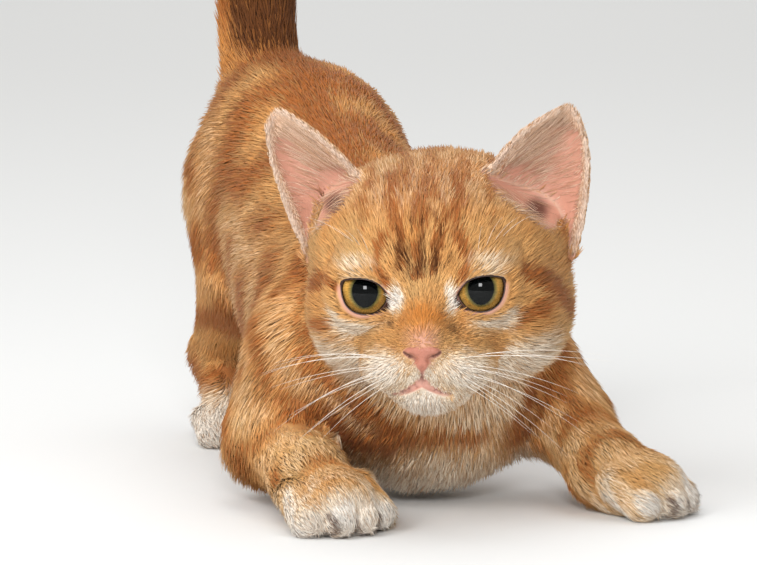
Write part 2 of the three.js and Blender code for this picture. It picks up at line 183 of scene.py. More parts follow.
def forms(q, kind):
    rows = []
    for (x, y, z), size in skullForms[kind]:
        rows += [ellipsoid(q, (x * side, y, z), size) for side in ((1, -1) if x else (1,))]
    return rows


def skullDistance(q):
    bridge = limb(q, (0, -22, 8), (0, -37.5, -9), 7.5, 6)
    chinLine = limb(q, (-5, -44, -24), (5, -44, -24), 2.5, 2.5)
    d = blended(7, *forms(q, "skull"), bridge, *forms(q, "muzzle"))
    return -softMin(-d, np.min(forms(q, "hollows") + [chinLine], axis=0), 4)


def neckDistance(p):
    a = limb(p, onHead((0, 20, 4)), (4, -18, 60), 33, 38)
    return softMin(a, limb(p, onHead((0, 8, -14)), (8, -36, 40), 26, 33), 10)


def trunkDistance(p):
    return blended(18, *[ellipsoid(p, t["at"], t["size"], t["slope"]) for t in trunk])


def pawFrame(leg):
    toes, foot = np.array(leg["toes"], float), np.array(leg["foot"], float)
    ahead = unit(np.array([toes[0] - foot[0], toes[1] - foot[1], 0.0]))
    turn = np.array([[-ahead[1], -ahead[0], 0], [ahead[0], -ahead[1], 0], [0, 0, 1.0]])
    return turn, np.array([toes[0], toes[1], 0.0])


for leg in legs:
    leg["kind"] = leg["name"][:4]
    leg["turn"], leg["at"] = pawFrame(leg)
    leg["heel"] = np.array([0, 17, legSizes[leg["kind"]]["heel"]]) @ leg["turn"].T + leg["at"]


def toPaw(p, leg):
    return (p - leg["at"]) @ leg["turn"]


def pawDistance(p, leg):
    q, sizes = toPaw(p, leg), legSizes[leg["kind"]]
    width, height = sizes["width"], sizes["height"]
    r = width * 0.19
    parts = [ellipsoid(q, (0, 16, height * 0.42), (width * 0.44, 16, height * 0.55))]
    for place in (-1.5, -0.5, 0.5, 1.5):
        lag = 5 if abs(place) > 1 else 0
        knuckle = (place * width * 0.22, 14 + lag, height * 0.55)
        parts.append(limb(q, knuckle, (place * width * 0.25, 3.5 + lag, r * 0.85), r * 1.05, r))
    return blended(1.6, *parts)


def legDistances(p, leg):
    upper, lower, last = legSizes[leg["kind"]]["radii"]
    thigh = limb(p, leg["root"], leg["joint"], *upper)
    if leg["kind"] == "hind":
        middle = (np.array(leg["root"]) + np.array(leg["joint"])) / 2 + (0, 8, -3)
        thigh = softMin(thigh, ellipsoid(p, middle, (15, 27, 33)), 8)
    shank = limb(p, leg["joint"], leg["foot"], *lower)
    return thigh, softMin(shank, limb(p, leg["foot"], leg["heel"], *last), 8), pawDistance(p, leg)


# A smooth bend from b to c, with a before them and d after them
def bend(a, b, c, d, t):
    squared, cubed = 2 * a - 5 * b + 4 * c - d, 3 * b - a - 3 * c + d
    return 0.5 * (2 * b + (c - a) * t + squared * t * t + cubed * t**3)


def curveThrough(points, count):
    pts = np.array(points, float)
    pts = np.vstack([2 * pts[0] - pts[1], pts, 2 * pts[-1] - pts[-2]])
    out = []
    for s in np.linspace(0, len(pts) - 3 - 1e-6, count):
        i, t = int(s), s - int(s)
        out.append(bend(*pts[i : i + 4], t))
    return np.array(out)


tailLine = curveThrough(tail["spine"], 26)
tailRadii = curveThrough([(r, 0, 0) for r in tail["radii"]], 26)[:, 0]


def tailDistance(p):
    d = np.full(len(p), 1e3)
    for i in range(len(tailLine) - 2):  # the end's roundness stops the last span short of the tip
        d = np.minimum(d, limb(p, tailLine[i], tailLine[i + 1], tailRadii[i], tailRadii[i + 1]))
    return d


# Ears: a leaf between two edges, cupped backwards
def bezier(points, t):
    a, b, c, d = [np.array(v, float) for v in points]
    t = t[:, None]
    return a * (1 - t) ** 3 + 3 * b * t * (1 - t) ** 2 + 3 * c * t * t * (1 - t) + d * t**3


def earLeaf(side, across, rise):
    edges = earShape[side]
    share = ((across + 1) / 2)[:, None]
    leaf = bezier(edges["inner"], rise) * (1 - share) + bezier(edges["outer"], rise) * share
    leaf[:, 1] += earShape["cup"] * (1 - across**2) * np.sqrt(np.maximum(1 - 0.8 * rise, 0.2))
    leaf[:, 2] += 1.5 * (1 - across**2) * rise**4
    return leaf


earGrid = 28
earTrees = {}
for side in ("right", "left"):
    rises, sides = np.meshgrid(np.linspace(0, 1, earGrid), np.linspace(-1, 1, earGrid), indexing="ij")
    leafPoints = earLeaf(side, sides.ravel(), rises.ravel())
    faces = [
        (i * earGrid + j, i * earGrid + j + 1, (i + 1) * earGrid + j + 1, (i + 1) * earGrid + j)
        for i in range(earGrid - 1)
        for j in range(earGrid - 1)
    ]
    tree = BVHTree.FromPolygons([Vector(v) for v in leafPoints], faces)
    earTrees[side] = (tree, leafPoints, rises.ravel(), sides.ravel())


def earDistance(q):
    d = np.full(len(q), 60.0)
    for side, sign in (("right", -1), ("left", 1)):
        near = np.nonzero((q[:, 0] * sign > 8) & (q[:, 2] > -2) & (q[:, 1] > -12) & (q[:, 1] < 26))[0]
        tree = earTrees[side][0]
        for i in near:
            d[i] = tree.find_nearest(Vector(q[i]))[3]
    return d - earShape["thickness"] / 2


# The view that the face is turned to, in the head's own axes
pan, tilt = math.radians(cameraSetup["pan"]), math.radians(cameraSetup["tilt"])
viewRight = np.array([math.cos(pan), -math.sin(pan), 0.0])
viewAhead = np.array([math.sin(pan) * math.cos(tilt), math.cos(pan) * math.cos(tilt), -math.sin(tilt)])
faceRight = viewRight @ headTurn
faceUp = np.cross(viewRight, viewAhead) @ headTurn
faceOut = -viewAhead @ headTurn

# Eyes: the opening between the lids is drawn from the middle of the iris, inner corner at +x
eyeShape = {
    "ball": 9.5,
    "iris": 7.2,
    "cornea": 8.6,
    "irisDepth": 5.9,
    "pupil": (4.0, 4.95),
    "right": (-18.8, -30.0, 5.4),
    "left": (17.4, -30.0, 5.7),
    "opening": [
        (-7.45, 2.6), (-6.6, 3.45), (-4.6, 3.85), (-2.2, 3.95), (0.4, 3.75), (3.0, 2.95), (5.2, 1.45),
        (6.9, -0.9), (7.9, -3.4), (8.1, -5.1), (6.6, -5.9), (4.2, -6.65), (1.6, -7.2), (-1.1, -7.2),
        (-3.7, -6.35), (-5.9, -4.4), (-7.1, -1.6), (-7.5, 0.9),
    ],
    "lid": 1.0,
}
limbusDepth = math.sqrt(eyeShape["ball"] ** 2 - eyeShape["iris"] ** 2)
corneaDrop = math.sqrt(eyeShape["cornea"] ** 2 - eyeShape["iris"] ** 2)


def closedCurve(points, count):
    pts = np.array(points, float)
    n = len(pts)
    out = []
    for s in np.linspace(0, n, count, endpoint=False):
        i, t = int(s), s - int(s)
        out.append(bend(*[pts[(i + k) % n] for k in (-1, 0, 1, 2)], t))
    return np.array(out)


opening = closedCurve(eyeShape["opening"], 72)


def outlineDistance(uv, outline):
    best = np.full(len(uv), 1e9)
    inside = np.zeros(len(uv), bool)
    for a, b in zip(outline, np.roll(outline, -1, 0)):
        best = np.minimum(best, toSpan(uv, a, b)[0])
        crosses = (a[1] > uv[:, 1]) != (b[1] > uv[:, 1])
        with np.errstate(divide="ignore", invalid="ignore"):
            at = a[0] + (uv[:, 1] - a[1]) * (b[0] - a[0]) / (b[1] - a[1] if b[1] != a[1] else 1e-9)
        inside ^= crosses & (uv[:, 0] < at)
    return np.where(inside, -best, best)


eyeSigns = {"right": 1, "left": -1}


def eyeMiddle(side):
    return np.array(eyeShape[side]) - faceOut * (limbusDepth - 0.1)


def eyePlane(q, side):
    d = q - eyeMiddle(side)
    return np.stack([d @ faceRight * eyeSigns[side], d @ faceUp], 1), d @ faceOut


def eyeDepth(uv):
    r = np.linalg.norm(uv, axis=1)
    cornea = limbusDepth + np.sqrt(np.maximum(eyeShape["cornea"] ** 2 - r**2, 0)) - corneaDrop
    ball = np.sqrt(np.maximum(eyeShape["ball"] ** 2 - r**2, 0))
    return np.where(r < eyeShape["iris"], cornea, ball)


def lidDistance(q, side):
    uv, out = eyePlane(q, side)
    away = smooth(0, 3.0, outlineDistance(uv, opening))
    d = np.linalg.norm(q - eyeMiddle(side), axis=1)
    wide = np.linalg.norm(uv, axis=1)
    overIris = (out > 0) & (wide < eyeShape["iris"])
    r = np.where(overIris, np.hypot(wide, eyeDepth(uv)), eyeShape["ball"])
    return d - (r + 0.4 + eyeShape["lid"] * away)


# Lines of the nose and mouth, in the face's plane from the middle of the nose leather
noseMiddle = np.array([-0.05, -44.5, -12.8])
noseShape = {
    "leather": [
        (0, 3.9), (3.2, 4.0), (5.0, 3.5), (5.9, 2.3), (4.8, 1.0), (3.2, 0.1), (2.2, -1.2),
        (1.3, -2.8), (0, -3.9),
    ],
    "nostril": [(5.6, 2.3), (4.4, 1.5), (3.2, 0.9), (2.4, 0.0)],
    "mouth": [(0, -6.7), (2.0, -8.3), (4.4, -9.5), (6.6, -10.4), (8.6, -10.6)],
    "lip": [(0, -7.4), (3.0, -8.9)],
}
leatherLine = closedCurve(noseShape["leather"] + [(-u, v) for u, v in noseShape["leather"][-2:0:-1]], 60)


def facePlane(q, middle):
    d = q - middle
    return np.stack([d @ faceRight, d @ faceUp], 1)


def hollowDistance(q):
    rows = []
    for middle, turn, forward, size in earShape["bowls"]:
        c, s = math.cos(math.radians(turn)), math.sin(math.radians(turn))
        uv = facePlane(q, noseMiddle) - np.array(middle)
        local = np.stack([uv @ (c, s), uv @ (-s, c), q @ faceOut - forward], 1)
        rows.append(ellipsoid(local, (0, 0, 0), size))
    return np.minimum(*rows)


def lineDistance(uv, points):
    d = np.full(len(uv), 1e9)
    share = np.zeros(len(uv))
    for i, (a, b) in enumerate(zip(points, points[1:])):
        near, t = toSpan(uv, a, b)
        share = np.where(near < d, (i + t) / (len(points) - 1), share)
        d = np.minimum(d, near)
    return d, share


def mirrored(uv):
    return np.stack([np.abs(uv[:, 0]), uv[:, 1]], 1)


def noseRelief(q):
    uv = mirrored(facePlane(q, noseMiddle))
    front = smooth(-20, -28, q[:, 1])
    leather = outlineDistance(facePlane(q, noseMiddle), leatherLine)
    d, share = lineDistance(uv, noseShape["nostril"])
    width = 0.42 + 0.5 * share
    nostril = (0.6 + 1.9 * share) * np.exp(-((d / width) ** 2))
    groove = 0.75 * np.exp(-((lineDistance(uv, [(0, -2.6), (0, -7.0)])[0] / 0.55) ** 2))
    d, share = lineDistance(uv, noseShape["mouth"])
    mouth = (2.2 - 1.3 * share) * np.exp(-((d / 0.75) ** 2))
    raised = 0.75 * smooth(0.35, -0.8, leather)
    wing = 0.45 * np.exp(-(((uv[:, 0] - 4.4) / 1.3) ** 2) - ((uv[:, 1] - 2.6) / 0.9) ** 2)
    lip = 0.5 * np.exp(-((uv[:, 0] / 3.2) ** 2) - ((uv[:, 1] + 8.9) / 0.9) ** 2)
    return front * (nostril + groove + mouth - raised - wing - lip)


# How deep the coat lies over the skin, and how it lies, part by part: millimetres
coatParts = {
    "head": {"depth": 2.4, "length": 7.2, "width": 0.43, "density": 2.6},
    "neck": {"depth": 3.0, "length": 7.8, "width": 0.5, "density": 2.3},
    "trunk": {"depth": 2.8, "length": 8.0, "width": 0.52, "density": 1.95},
    "tail": {"depth": 4.2, "length": 10.5, "width": 0.62, "density": 1.8},
    "upper": {"depth": 2.5, "length": 7.4, "width": 0.5, "density": 2.15},
    "lower": {"depth": 2.1, "length": 6.4, "width": 0.46, "density": 2.6},
    "paw": {"depth": 1.0, "length": 3.6, "width": 0.34, "density": 4.6},
}


def partDistances(p):
    rows = [("head", skullDistance(toHead(p)), None), ("neck", neckDistance(p), None)]
    rows += [("trunk", trunkDistance(p), None), ("tail", tailDistance(p), None)]
    for leg in legs:
        for name, d in zip(("upper", "lower", "paw"), legDistances(p, leg)):
            rows.append((name, d, leg))
    return rows


def nearOnly(p, middle, reach, distance):
    d = np.full(len(p), 60.0)
    near = np.nonzero(np.linalg.norm(p - np.array(middle, float), axis=1) < reach)[0]
    if len(near):
        d[near] = distance(p[near])
    return d


def wholeLeg(p, leg):
    thigh, shank, foot = legDistances(p, leg)
    return softMin(softMin(thigh, shank, 14 if leg["kind"] == "hind" else 8), foot, 5)


def fleshDistance(p):
    skull = nearOnly(p, head["at"], 85, lambda near: skullDistance(toHead(near)))
    body = blended(12, skull, nearOnly(p, (6, -40, 62), 95, neckDistance), trunkDistance(p))
    total = softMin(body, nearOnly(p, (2, 122, 180), 115, tailDistance), 9)
    for leg in legs:
        middle = (np.array(leg["root"]) + np.array(leg["toes"])) / 2
        total = softMin(total, nearOnly(p, middle, 85, lambda near: wholeLeg(near, leg)), 9)
    return total


def partWeights(p):
    parts = partDistances(p)
    d = np.stack([row[1] for row in parts], 1)
    weights = np.exp(-(d - d.min(1, keepdims=True)) / 3.0)
    return [(name, leg) for name, d, leg in parts], weights / weights.sum(1, keepdims=True)


def faceReach(q):
    return smooth(13, 56, np.linalg.norm(q - np.array([0, -42, -8.0]), axis=1))


def coatMeasure(names, weights, q, key):
    reach = faceReach(q)
    inFace = {"depth": 0.9, "length": 3.2, "width": 0.3, "density": 5.0}[key]
    total = np.zeros(len(q))
    for i, (name, _) in enumerate(names):
        value = coatParts[name][key]
        if name == "head":
            value = inFace + (value - inFace) * reach
        total += weights[:, i] * value
    return total


# The skin: the solids' copies are swollen shut and meshed as one, then drawn to the form under the coat
skinSetup = {
    "voxel": 0.85,
    "swell": 0.25,
    "bodyShare": 0.3,
    "longBowlEdge": 0.0018,
    "strandGap": 1.1,  # past this far from its form, skin is a strand
    "endReach": 0.004,
    "longEndEdge": 0.0016,
    "looseReach": 0.0045,
    "floorGap": 0.15,
}


def opened(mesh):
    shell = bmesh.new()
    shell.from_mesh(mesh)
    return shell


def closed(shell, mesh):
    shell.to_mesh(mesh)
    shell.free()
    return mesh


def triangulated(shell):
    bmesh.ops.triangulate(shell, faces=[f for f in shell.faces if len(f.verts) > 4])


def facedOut(shell):
    bmesh.ops.recalc_face_normals(shell, faces=shell.faces)


def solidCopy(name, swell):
    shell = opened(nodes[name].data)
    bmesh.ops.remove_doubles(shell, verts=shell.verts, dist=1e-6)
    shell.normal_update()
    for v in shell.verts:
        v.co += v.normal * swell / 1000
    return closed(shell, bpy.data.meshes.new(name + "Copy"))


def meshOf(obj):
    return bpy.data.meshes.new_from_object(obj.evaluated_get(bpy.context.evaluated_depsgraph_get()))


def newObject(name, mesh):
    obj = bpy.data.objects.new(name, mesh)
    bpy.context.scene.collection.objects.link(obj)
    return obj


def fieldOf(rows, field, size, kind=np.float32):
    values = np.empty(len(rows) * size, kind)
    rows.foreach_get(field, values)
    return values.reshape(-1, size)


def placesOf(mesh):
    return fieldOf(mesh.vertices, "co", 3).astype(float)


def setPlaces(mesh, co):
    mesh.vertices.foreach_set("co", co.astype(np.float32).ravel())


def normalsOf(mesh):
    return fieldOf(mesh.vertex_normals, "vector", 3).astype(float)


def edgesOf(mesh):
    return fieldOf(mesh.edges, "vertices", 2, np.int32)


def evened(values, edges, share, turns):
    a, b = edges.T
    count = np.maximum(np.bincount(edges.ravel(), minlength=len(values)), 1)[:, None]
    for turn in range(turns):
        total = [np.bincount(a, v[b], len(v)) + np.bincount(b, v[a], len(v)) for v in values.T]
        values = values + share * (np.stack(total, 1) / count - values)
    return values


fleshNodes = [n for n in nodes if not n.startswith("eye_")]
joined = bmesh.new()
for name in sorted(nodes):
    copy = solidCopy(name, skinSetup["swell"])
    joined.from_mesh(copy)
    bpy.data.meshes.remove(copy)
rough = newObject("rough", closed(joined, bpy.data.meshes.new("joined")))
remesh = rough.modifiers.new("oneSkin", "REMESH")
remesh.mode = "VOXEL"
remesh.voxel_size = skinSetup["voxel"] / 1000
skinMesh = meshOf(rough)
bpy.data.objects.remove(rough)
print("one skin meshed:", len(skinMesh.vertices), "points")


def largestIsland(mesh):
    edges = edgesOf(mesh)
    owner = np.arange(len(mesh.vertices))
    while True:
        low = np.minimum(owner[edges[:, 0]], owner[edges[:, 1]])
        before = owner.copy()
        np.minimum.at(owner, edges[:, 0], low)
        np.minimum.at(owner, edges[:, 1], low)
        owner = owner[owner]
        if (owner == before).all():
            return owner == np.bincount(owner).argmax()


# The body needs fewer faces than the head and paws, so it is thinned there
def thinned(mesh):
    obj = newObject("thinning", mesh)
    p = toCat(placesOf(mesh))
    q = toHead(p)
    names, weights = partWeights(p)
    fine = sum(weights[:, i] for i, (name, _) in enumerate(names) if name in ("head", "paw"))
    ears = (earDistance(q) < 3) & (q[:, 2] > 10)
    coarse = np.clip(1 - fine - ears, 0, 1) * (np.linalg.norm(q, axis=1) > 30)
    group = obj.vertex_groups.new(name="coarse")
    for level in range(11):
        members = np.nonzero(np.round(coarse * 10) == level)[0]
        group.add([int(i) for i in members], level / 10, "REPLACE")
    thin = obj.modifiers.new("thin", "DECIMATE")
    thin.ratio = skinSetup["bodyShare"]
    thin.vertex_group = "coarse"
    made = meshOf(obj)
    bpy.data.objects.remove(obj)
    return made


def dropCrumbs(mesh):
    keep = largestIsland(mesh)
    if keep.all():
        return
    shell = opened(mesh)
    bmesh.ops.delete(shell, geom=[v for v, kept in zip(shell.verts, keep) if not kept], context="VERTS")
    closed(shell, mesh)


dropCrumbs(skinMesh)
skinMesh = thinned(skinMesh)
print("body thinned:", len(skinMesh.vertices), "points,", len(skinMesh.polygons), "faces")


def skinDistance(p, depth):
    q = toHead(p)
    d = fleshDistance(p) + depth
    near = np.nonzero((np.linalg.norm(q - np.array([0, -20, 0.0]), axis=1) < 95) & (q[:, 1] < 26))[0]
    if len(near):
        qn, dn = q[near], d[near]
        for side in ("right", "left"):
            lids = nearOnly(qn, eyeMiddle(side), 17, lambda close: lidDistance(close, side))
            dn = softMin(dn, lids, 5)
        dn = -softMin(-dn, hollowDistance(qn), 3)
        muzzle = np.nonzero(np.linalg.norm(qn - noseMiddle, axis=1) < 17)[0]
        dn[muzzle] += noseRelief(qn[muzzle])
        dn = softMin(dn, earDistance(qn), 3.5)
        d[near] = dn
    return d


def drawnOnto(p, depth, turns, limit):
    for turn in range(turns):
        f = skinDistance(p, depth)
        slope = np.stack([skinDistance(p + np.eye(3)[k] * 0.08, depth) - f for k in range(3)], 1) / 0.08
        steep = np.maximum(np.sum(slope**2, 1), 0.2)
        move = -slope * (f / steep)[:, None]
        long = np.linalg.norm(move, axis=1, keepdims=True)
        p = p + move * np.minimum(1, limit / np.maximum(long, 1e-9))
    return p


def sunk(p, depth):
    q = toHead(p)
    chosen = np.nonzero((hollowDistance(q) < -0.2) & (earDistance(q) > 1.2) & (q[:, 1] < 12))[0]
    back = -faceOut @ headTurn.T
    for turn in range(30):
        f = skinDistance(p[chosen], depth)
        p[chosen] += back * np.clip(f * 0.8, 0, 1.5)[:, None]
    return p


# Ear hollows are sunk first, then faces are made finer there and round the eyes, nose and mouth
p = sunk(toCat(placesOf(skinMesh)), 1.0)
setPlaces(skinMesh, toRow(p))
shell = opened(skinMesh)
q = toHead(p)
hollow = (hollowDistance(q) < 3) & (q[:, 1] < 20)
eyes = np.min([np.linalg.norm(q - eyeMiddle(side), axis=1) for side in ("right", "left")], axis=0)
muzzle = np.linalg.norm((q - np.array([0, -41, -17.0])) / np.array([13, 12, 12.0]), axis=1)
fine = ((eyes < 14) & (q[:, 1] < -18)) | (muzzle < 1)
chosen = [e for e in shell.edges if fine[e.verts[0].index] and fine[e.verts[1].index]]
inBowl = {v for v in shell.verts if hollow[v.index]}
bmesh.ops.subdivide_edges(shell, edges=chosen, cuts=1, use_grid_fill=True)
triangulated(shell)
for turn in range(4):  # the walls of the ear hollows are stretched
    inWalls = [e for e in shell.edges if inBowl.issuperset(e.verts)]
    stretched = [e for e in inWalls if e.calc_length() > skinSetup["longBowlEdge"]]
    made = bmesh.ops.subdivide_edges(shell, edges=stretched, cuts=1)
    inBowl.update(v for v in made["geom_inner"] if isinstance(v, bmesh.types.BMVert))
    triangulated(shell)
closed(shell, skinMesh)
print("face refined:", len(skinMesh.vertices), "points")


def coatDepth(p):
    names, weights = partWeights(p)
    q = toHead(p)
    leather = smooth(2.0, -0.5, outlineDistance(facePlane(q, noseMiddle), leatherLine)) * (q[:, 1] < -30)
    return coatMeasure(names, weights, q, "depth") * (1 - leather)


def looseness(p):
    q = toHead(p)
    return (1 - smooth(3.0, 1.5, earDistance(q)) * smooth(14, 26, q[:, 2]))[:, None]


def moveTo(mesh, p):
    p[:, 2] = np.maximum(p[:, 2], skinSetup["floorGap"])
    setPlaces(mesh, toRow(p))
    mesh.update()


def badFaces(shell):
    bad = {f for e in shell.edges if not e.is_manifold for f in e.link_faces}
    return bad | {f for v in shell.verts if not v.is_manifold for f in v.link_faces}


def closedWithout(shell, gone):
    for turn in range(8):
        if not gone:
            return
        bmesh.ops.delete(shell, geom=list(gone), context="FACES")
        bmesh.ops.delete(shell, geom=[e for e in shell.edges if e.is_wire], context="EDGES")
        bmesh.ops.holes_fill(shell, edges=[e for e in shell.edges if e.is_boundary], sides=0)
        triangulated(shell)
        gone = badFaces(shell)


# Where two limbs nearly touch, the skin has strands across the gap: these go, and their ends are closed
def freeStrands(mesh, p, depth):
    edges = edgesOf(mesh)
    apart = skinDistance(p[edges].mean(1), depth[edges].mean(1)) > skinSetup["strandGap"]
    shell = opened(mesh)
    shell.edges.ensure_lookup_table()
    gone = {f for i in np.nonzero(apart)[0] for f in shell.edges[i].link_faces}
    print("faces in strands:", len(gone))
    ends = KDTree(len(gone))
    for i, f in enumerate(gone):
        ends.insert(f.calc_center_median(), i)
    ends.balance()
    closedWithout(shell, gone)
    for turn in range(4):  # the faces that close the ends are large
        close = {v for v in shell.verts if ends.find(v.co)[2] < skinSetup["endReach"]}
        atEnds = [e for e in shell.edges if close.issuperset(e.verts)]
        long = [e for e in atEnds if e.calc_length() > skinSetup["longEndEdge"]]
        bmesh.ops.subdivide_edges(shell, edges=long, cuts=1)
        triangulated(shell)
    closedWithout(shell, badFaces(shell))
    facedOut(shell)
    print("strands cleared,", len(badFaces(shell)), "faces left open")
    dropCrumbs(closed(shell, mesh))
    return np.array([[ends.find(v.co)[2] < skinSetup["looseReach"]] for v in mesh.vertices], float)


edges = edgesOf(skinMesh)
p = toCat(placesOf(skinMesh))
depth, loose = coatDepth(p), looseness(p)
for share in (0.4, 0.75, 1.0):
    p = evened(p, edges, 0.5 * loose, 2)
    p = drawnOnto(p, depth * share, 2, 3.0)
moveTo(skinMesh, p)
ends = freeStrands(skinMesh, p, depth)
p = toCat(placesOf(skinMesh))
depth = coatDepth(p)
for turn in range(3):
    p = evened(p, edgesOf(skinMesh), 0.5 * ends, 6)
    p = p + ends * (drawnOnto(p, depth, 1, 2.0) - p)
p = evened(p, edgesOf(skinMesh), 0.4 * looseness(p), 1)
p = drawnOnto(p, depth, 2, 1.0)
moveTo(skinMesh, p)
print("skin drawn to its form")


# The lids open: faces inside the opening go, its edge is drawn to the line, and a socket closes the skin
def longestLoop(shell):
    rim = [v for v in shell.verts if v.is_boundary]
    following = {v: [e.other_vert(v) for e in v.link_edges if e.is_boundary] for v in rim}
    seen, best = set(), []
    for start in following:
        if start in seen:
            continue
        loop = [start]
        while True:
            seen.add(loop[-1])
            ahead = [v for v in following[loop[-1]] if v not in seen]
            if not ahead:
                break
            loop.append(ahead[0])
        best = max(best, loop, key=len)
    return best


def openLids(mesh):
    shell = opened(mesh)
    shell.verts.ensure_lookup_table()
    for side, sign in eyeSigns.items():
        q = toHead(toCat(np.array([v.co for v in shell.verts])))
        uv, out = eyePlane(q, side)
        near = (out > 3) & (np.linalg.norm(q - eyeMiddle(side), axis=1) < 15)
        inside = near & (outlineDistance(uv, opening) < -0.05)
        gone = [f for f in shell.faces if any(inside[v.index] for v in f.verts)]
        bmesh.ops.delete(shell, geom=gone, context="FACES")
        shell.verts.ensure_lookup_table()
        shell.edges.ensure_lookup_table()
        middle = eyeMiddle(side)
        loop = longestLoop(shell)
        q = toHead(toCat(np.array([v.co for v in loop])))
        uv = eyePlane(q, side)[0]
        angles = np.unwrap(np.arctan2(uv[:, 1], uv[:, 0]))
        if angles[-1] < angles[0]:
            loop.reverse()
            uv = uv[::-1]
        fineLine = closedCurve(eyeShape["opening"], 720)
        nearest = np.array([fineLine[np.argmin(np.linalg.norm(fineLine - a, axis=1))] for a in uv])

        def place(uv, out):
            local = middle + uv[:, :1] * sign * faceRight + uv[:, 1:] * faceUp + out[:, None] * faceOut
            return toRow(onHead(local))

        for v, co in zip(loop, place(nearest * 1.02, eyeDepth(nearest * 1.02) + 0.35)):
            v.co = co
        start = np.arctan2(np.linalg.norm(nearest, axis=1), eyeDepth(nearest))
        heading = unit(nearest)
        rings = [loop]
        for share in (0.06, 0.2, 0.45, 0.7, 0.88):
            theta = start + (math.pi - start) * share
            r = eyeShape["ball"] + 0.12 + 0.8 * np.clip(1 - share * 5, 0, 1)
            uvRing = heading * (np.sin(theta) * r)[:, None]
            rings.append([shell.verts.new(co) for co in place(uvRing, np.cos(theta) * r)])
        for a, b in zip(rings, rings[1:]):
            for i in range(len(a)):
                j = (i + 1) % len(a)
                shell.faces.new((a[i], b[i], b[j], a[j]))
        shell.faces.new(rings[-1])
        shell.verts.index_update()
        shell.verts.ensure_lookup_table()
    triangulated(shell)
    facedOut(shell)
    closed(shell, mesh).update()


openLids(skinMesh)
skinMesh.polygons.foreach_set("use_smooth", [True] * len(skinMesh.polygons))
print("lids opened:", sum(len(f.vertices) - 2 for f in skinMesh.polygons), "triangles in the skin")


# Markings are worked out as masks at each point of the skin, and the coat takes them from there
def softNoise(p, size, seed):
    rng = np.random.default_rng(seed)
    total = np.zeros(len(p))
    for k in range(7):
        way = rng.normal(size=3)
        way *= 2 * math.pi / size * rng.uniform(0.6, 1.5) / np.linalg.norm(way)
        total += np.sin(p @ way + rng.uniform(0, 2 * math.pi))
    return total / 2.6


# Lines: start, end and half width; patches: middle, half sizes; millimetres in the face's plane
faceMarks = {
    "middle": (-0.2, -33.0, 6.0),
    "lines": [
        (-11.3, 14.1, -13.4, 6.9, 1.6, 0.95), (-13.4, 6.9, -10.6, 1.9, 1.5, 0.95),
        (9.7, 14.7, 12.5, 8.4, 1.6, 0.95), (12.5, 8.4, 11.6, 2.8, 1.5, 0.95),
        (-9.4, 32.8, -9.7, 23.4, 1.2, 0.9), (9.4, 32.8, 9.7, 18.8, 1.4, 0.9),
        (-5.0, 33.8, -5.3, 28.8, 0.9, 0.8), (-1.9, 26.6, -1.3, 21.3, 1.0, 0.7),
        (2.8, 31.3, 3.4, 25.0, 0.9, 0.8), (-6.6, 18.1, -5.6, 6.3, 1.4, 1.0),
        (4.1, 15.6, 3.1, 4.7, 1.4, 1.0), (-1.6, 10.9, -1.3, 3.1, 1.3, 1.0),
        (6.6, 21.9, 5.9, 17.2, 0.9, 0.8), (-8.1, 21.3, -9.1, 16.9, 0.9, 0.8),
        (-28.4, 1.9, -38.0, -0.6, 2.8, 1.0), (-25.3, -10.0, -35.0, -12.5, 2.0, 0.9),
        (-21.6, -14.0, -33.0, -16.6, 1.5, 0.8), (30.9, 4.4, 39.7, -0.6, 2.8, 1.0),
        (39.7, -0.6, 44.0, -6.9, 2.8, 1.0), (35.6, -4.7, 24.7, -10.0, 2.0, 0.9),
        (38.8, -14.0, 26.3, -18.8, 2.0, 0.8), (-4.5, -9.0, 4.5, -9.0, 2.6, 0.3),
    ],
    "pale": [
        (-7.6, -3.4, 2.4, 5.2, 1.0), (8.0, -3.4, 2.4, 5.2, 1.0), (-19.7, 7.0, 7.2, 2.8, 0.62),
        (19.4, 7.4, 8.0, 2.8, 0.62), (-16.5, -10.8, 8.0, 3.2, 0.42), (17.0, -11.0, 8.0, 3.2, 0.42),
        (-11.3, -24.5, 10.0, 7.2, 0.86), (11.6, -24.5, 11.0, 7.2, 0.86), (0, -35.5, 13.0, 8.5, 0.9),
        (-25.0, -29.0, 11.0, 7.0, 0.5), (27.0, -29.0, 12.0, 8.0, 0.5), (0, -27.0, 9.0, 7.0, 0.8),
    ],
    "sandy": [(0, 1.0, 7.0, 8.0, 0.9), (-22.0, 14.0, 10.0, 8.0, 0.4), (22.0, 14.0, 10.0, 8.0, 0.4)],
    "dark": [
        (-34.0, 1.0, 6.0, 1.8, 0.35), (36.0, 2.5, 7.0, 2.0, 0.4), (-9.4, -11.0, 1.7, 2.0, 0.55),
        (8.6, -12.4, 2.0, 2.4, 0.5), (-5.8, 9.0, 1.5, 5.0, 0.85), (3.4, 8.0, 1.5, 5.0, 0.85),
        (-1.3, 6.0, 1.5, 4.0, 0.8),
    ],
    "pink": [(0, -15.0, 5.0, 2.6, 0.6)],
    "bridge": [(0, -9.5, 5.2, 4.6, 0.6)],
}


def patch(uv, rows):
    total = np.zeros(len(uv))
    for u, v, wide, high, strength in rows:
        d = ((uv[:, 0] - u) / wide) ** 2 + ((uv[:, 1] - v) / high) ** 2
        total = np.maximum(total, strength * smooth(1.55, 0.25, np.sqrt(d)))
    return total


def capsules(uv, rows):
    total = np.zeros(len(uv))
    for a, b, c, d, half, strength in rows:
        near = lineDistance(uv, [(a, b), (c, d)])[0]
        total = np.maximum(total, strength * smooth(half * 1.5, half * 0.5, near))
    return total


def wave(x, length):
    return np.cos(2 * math.pi * x / length)


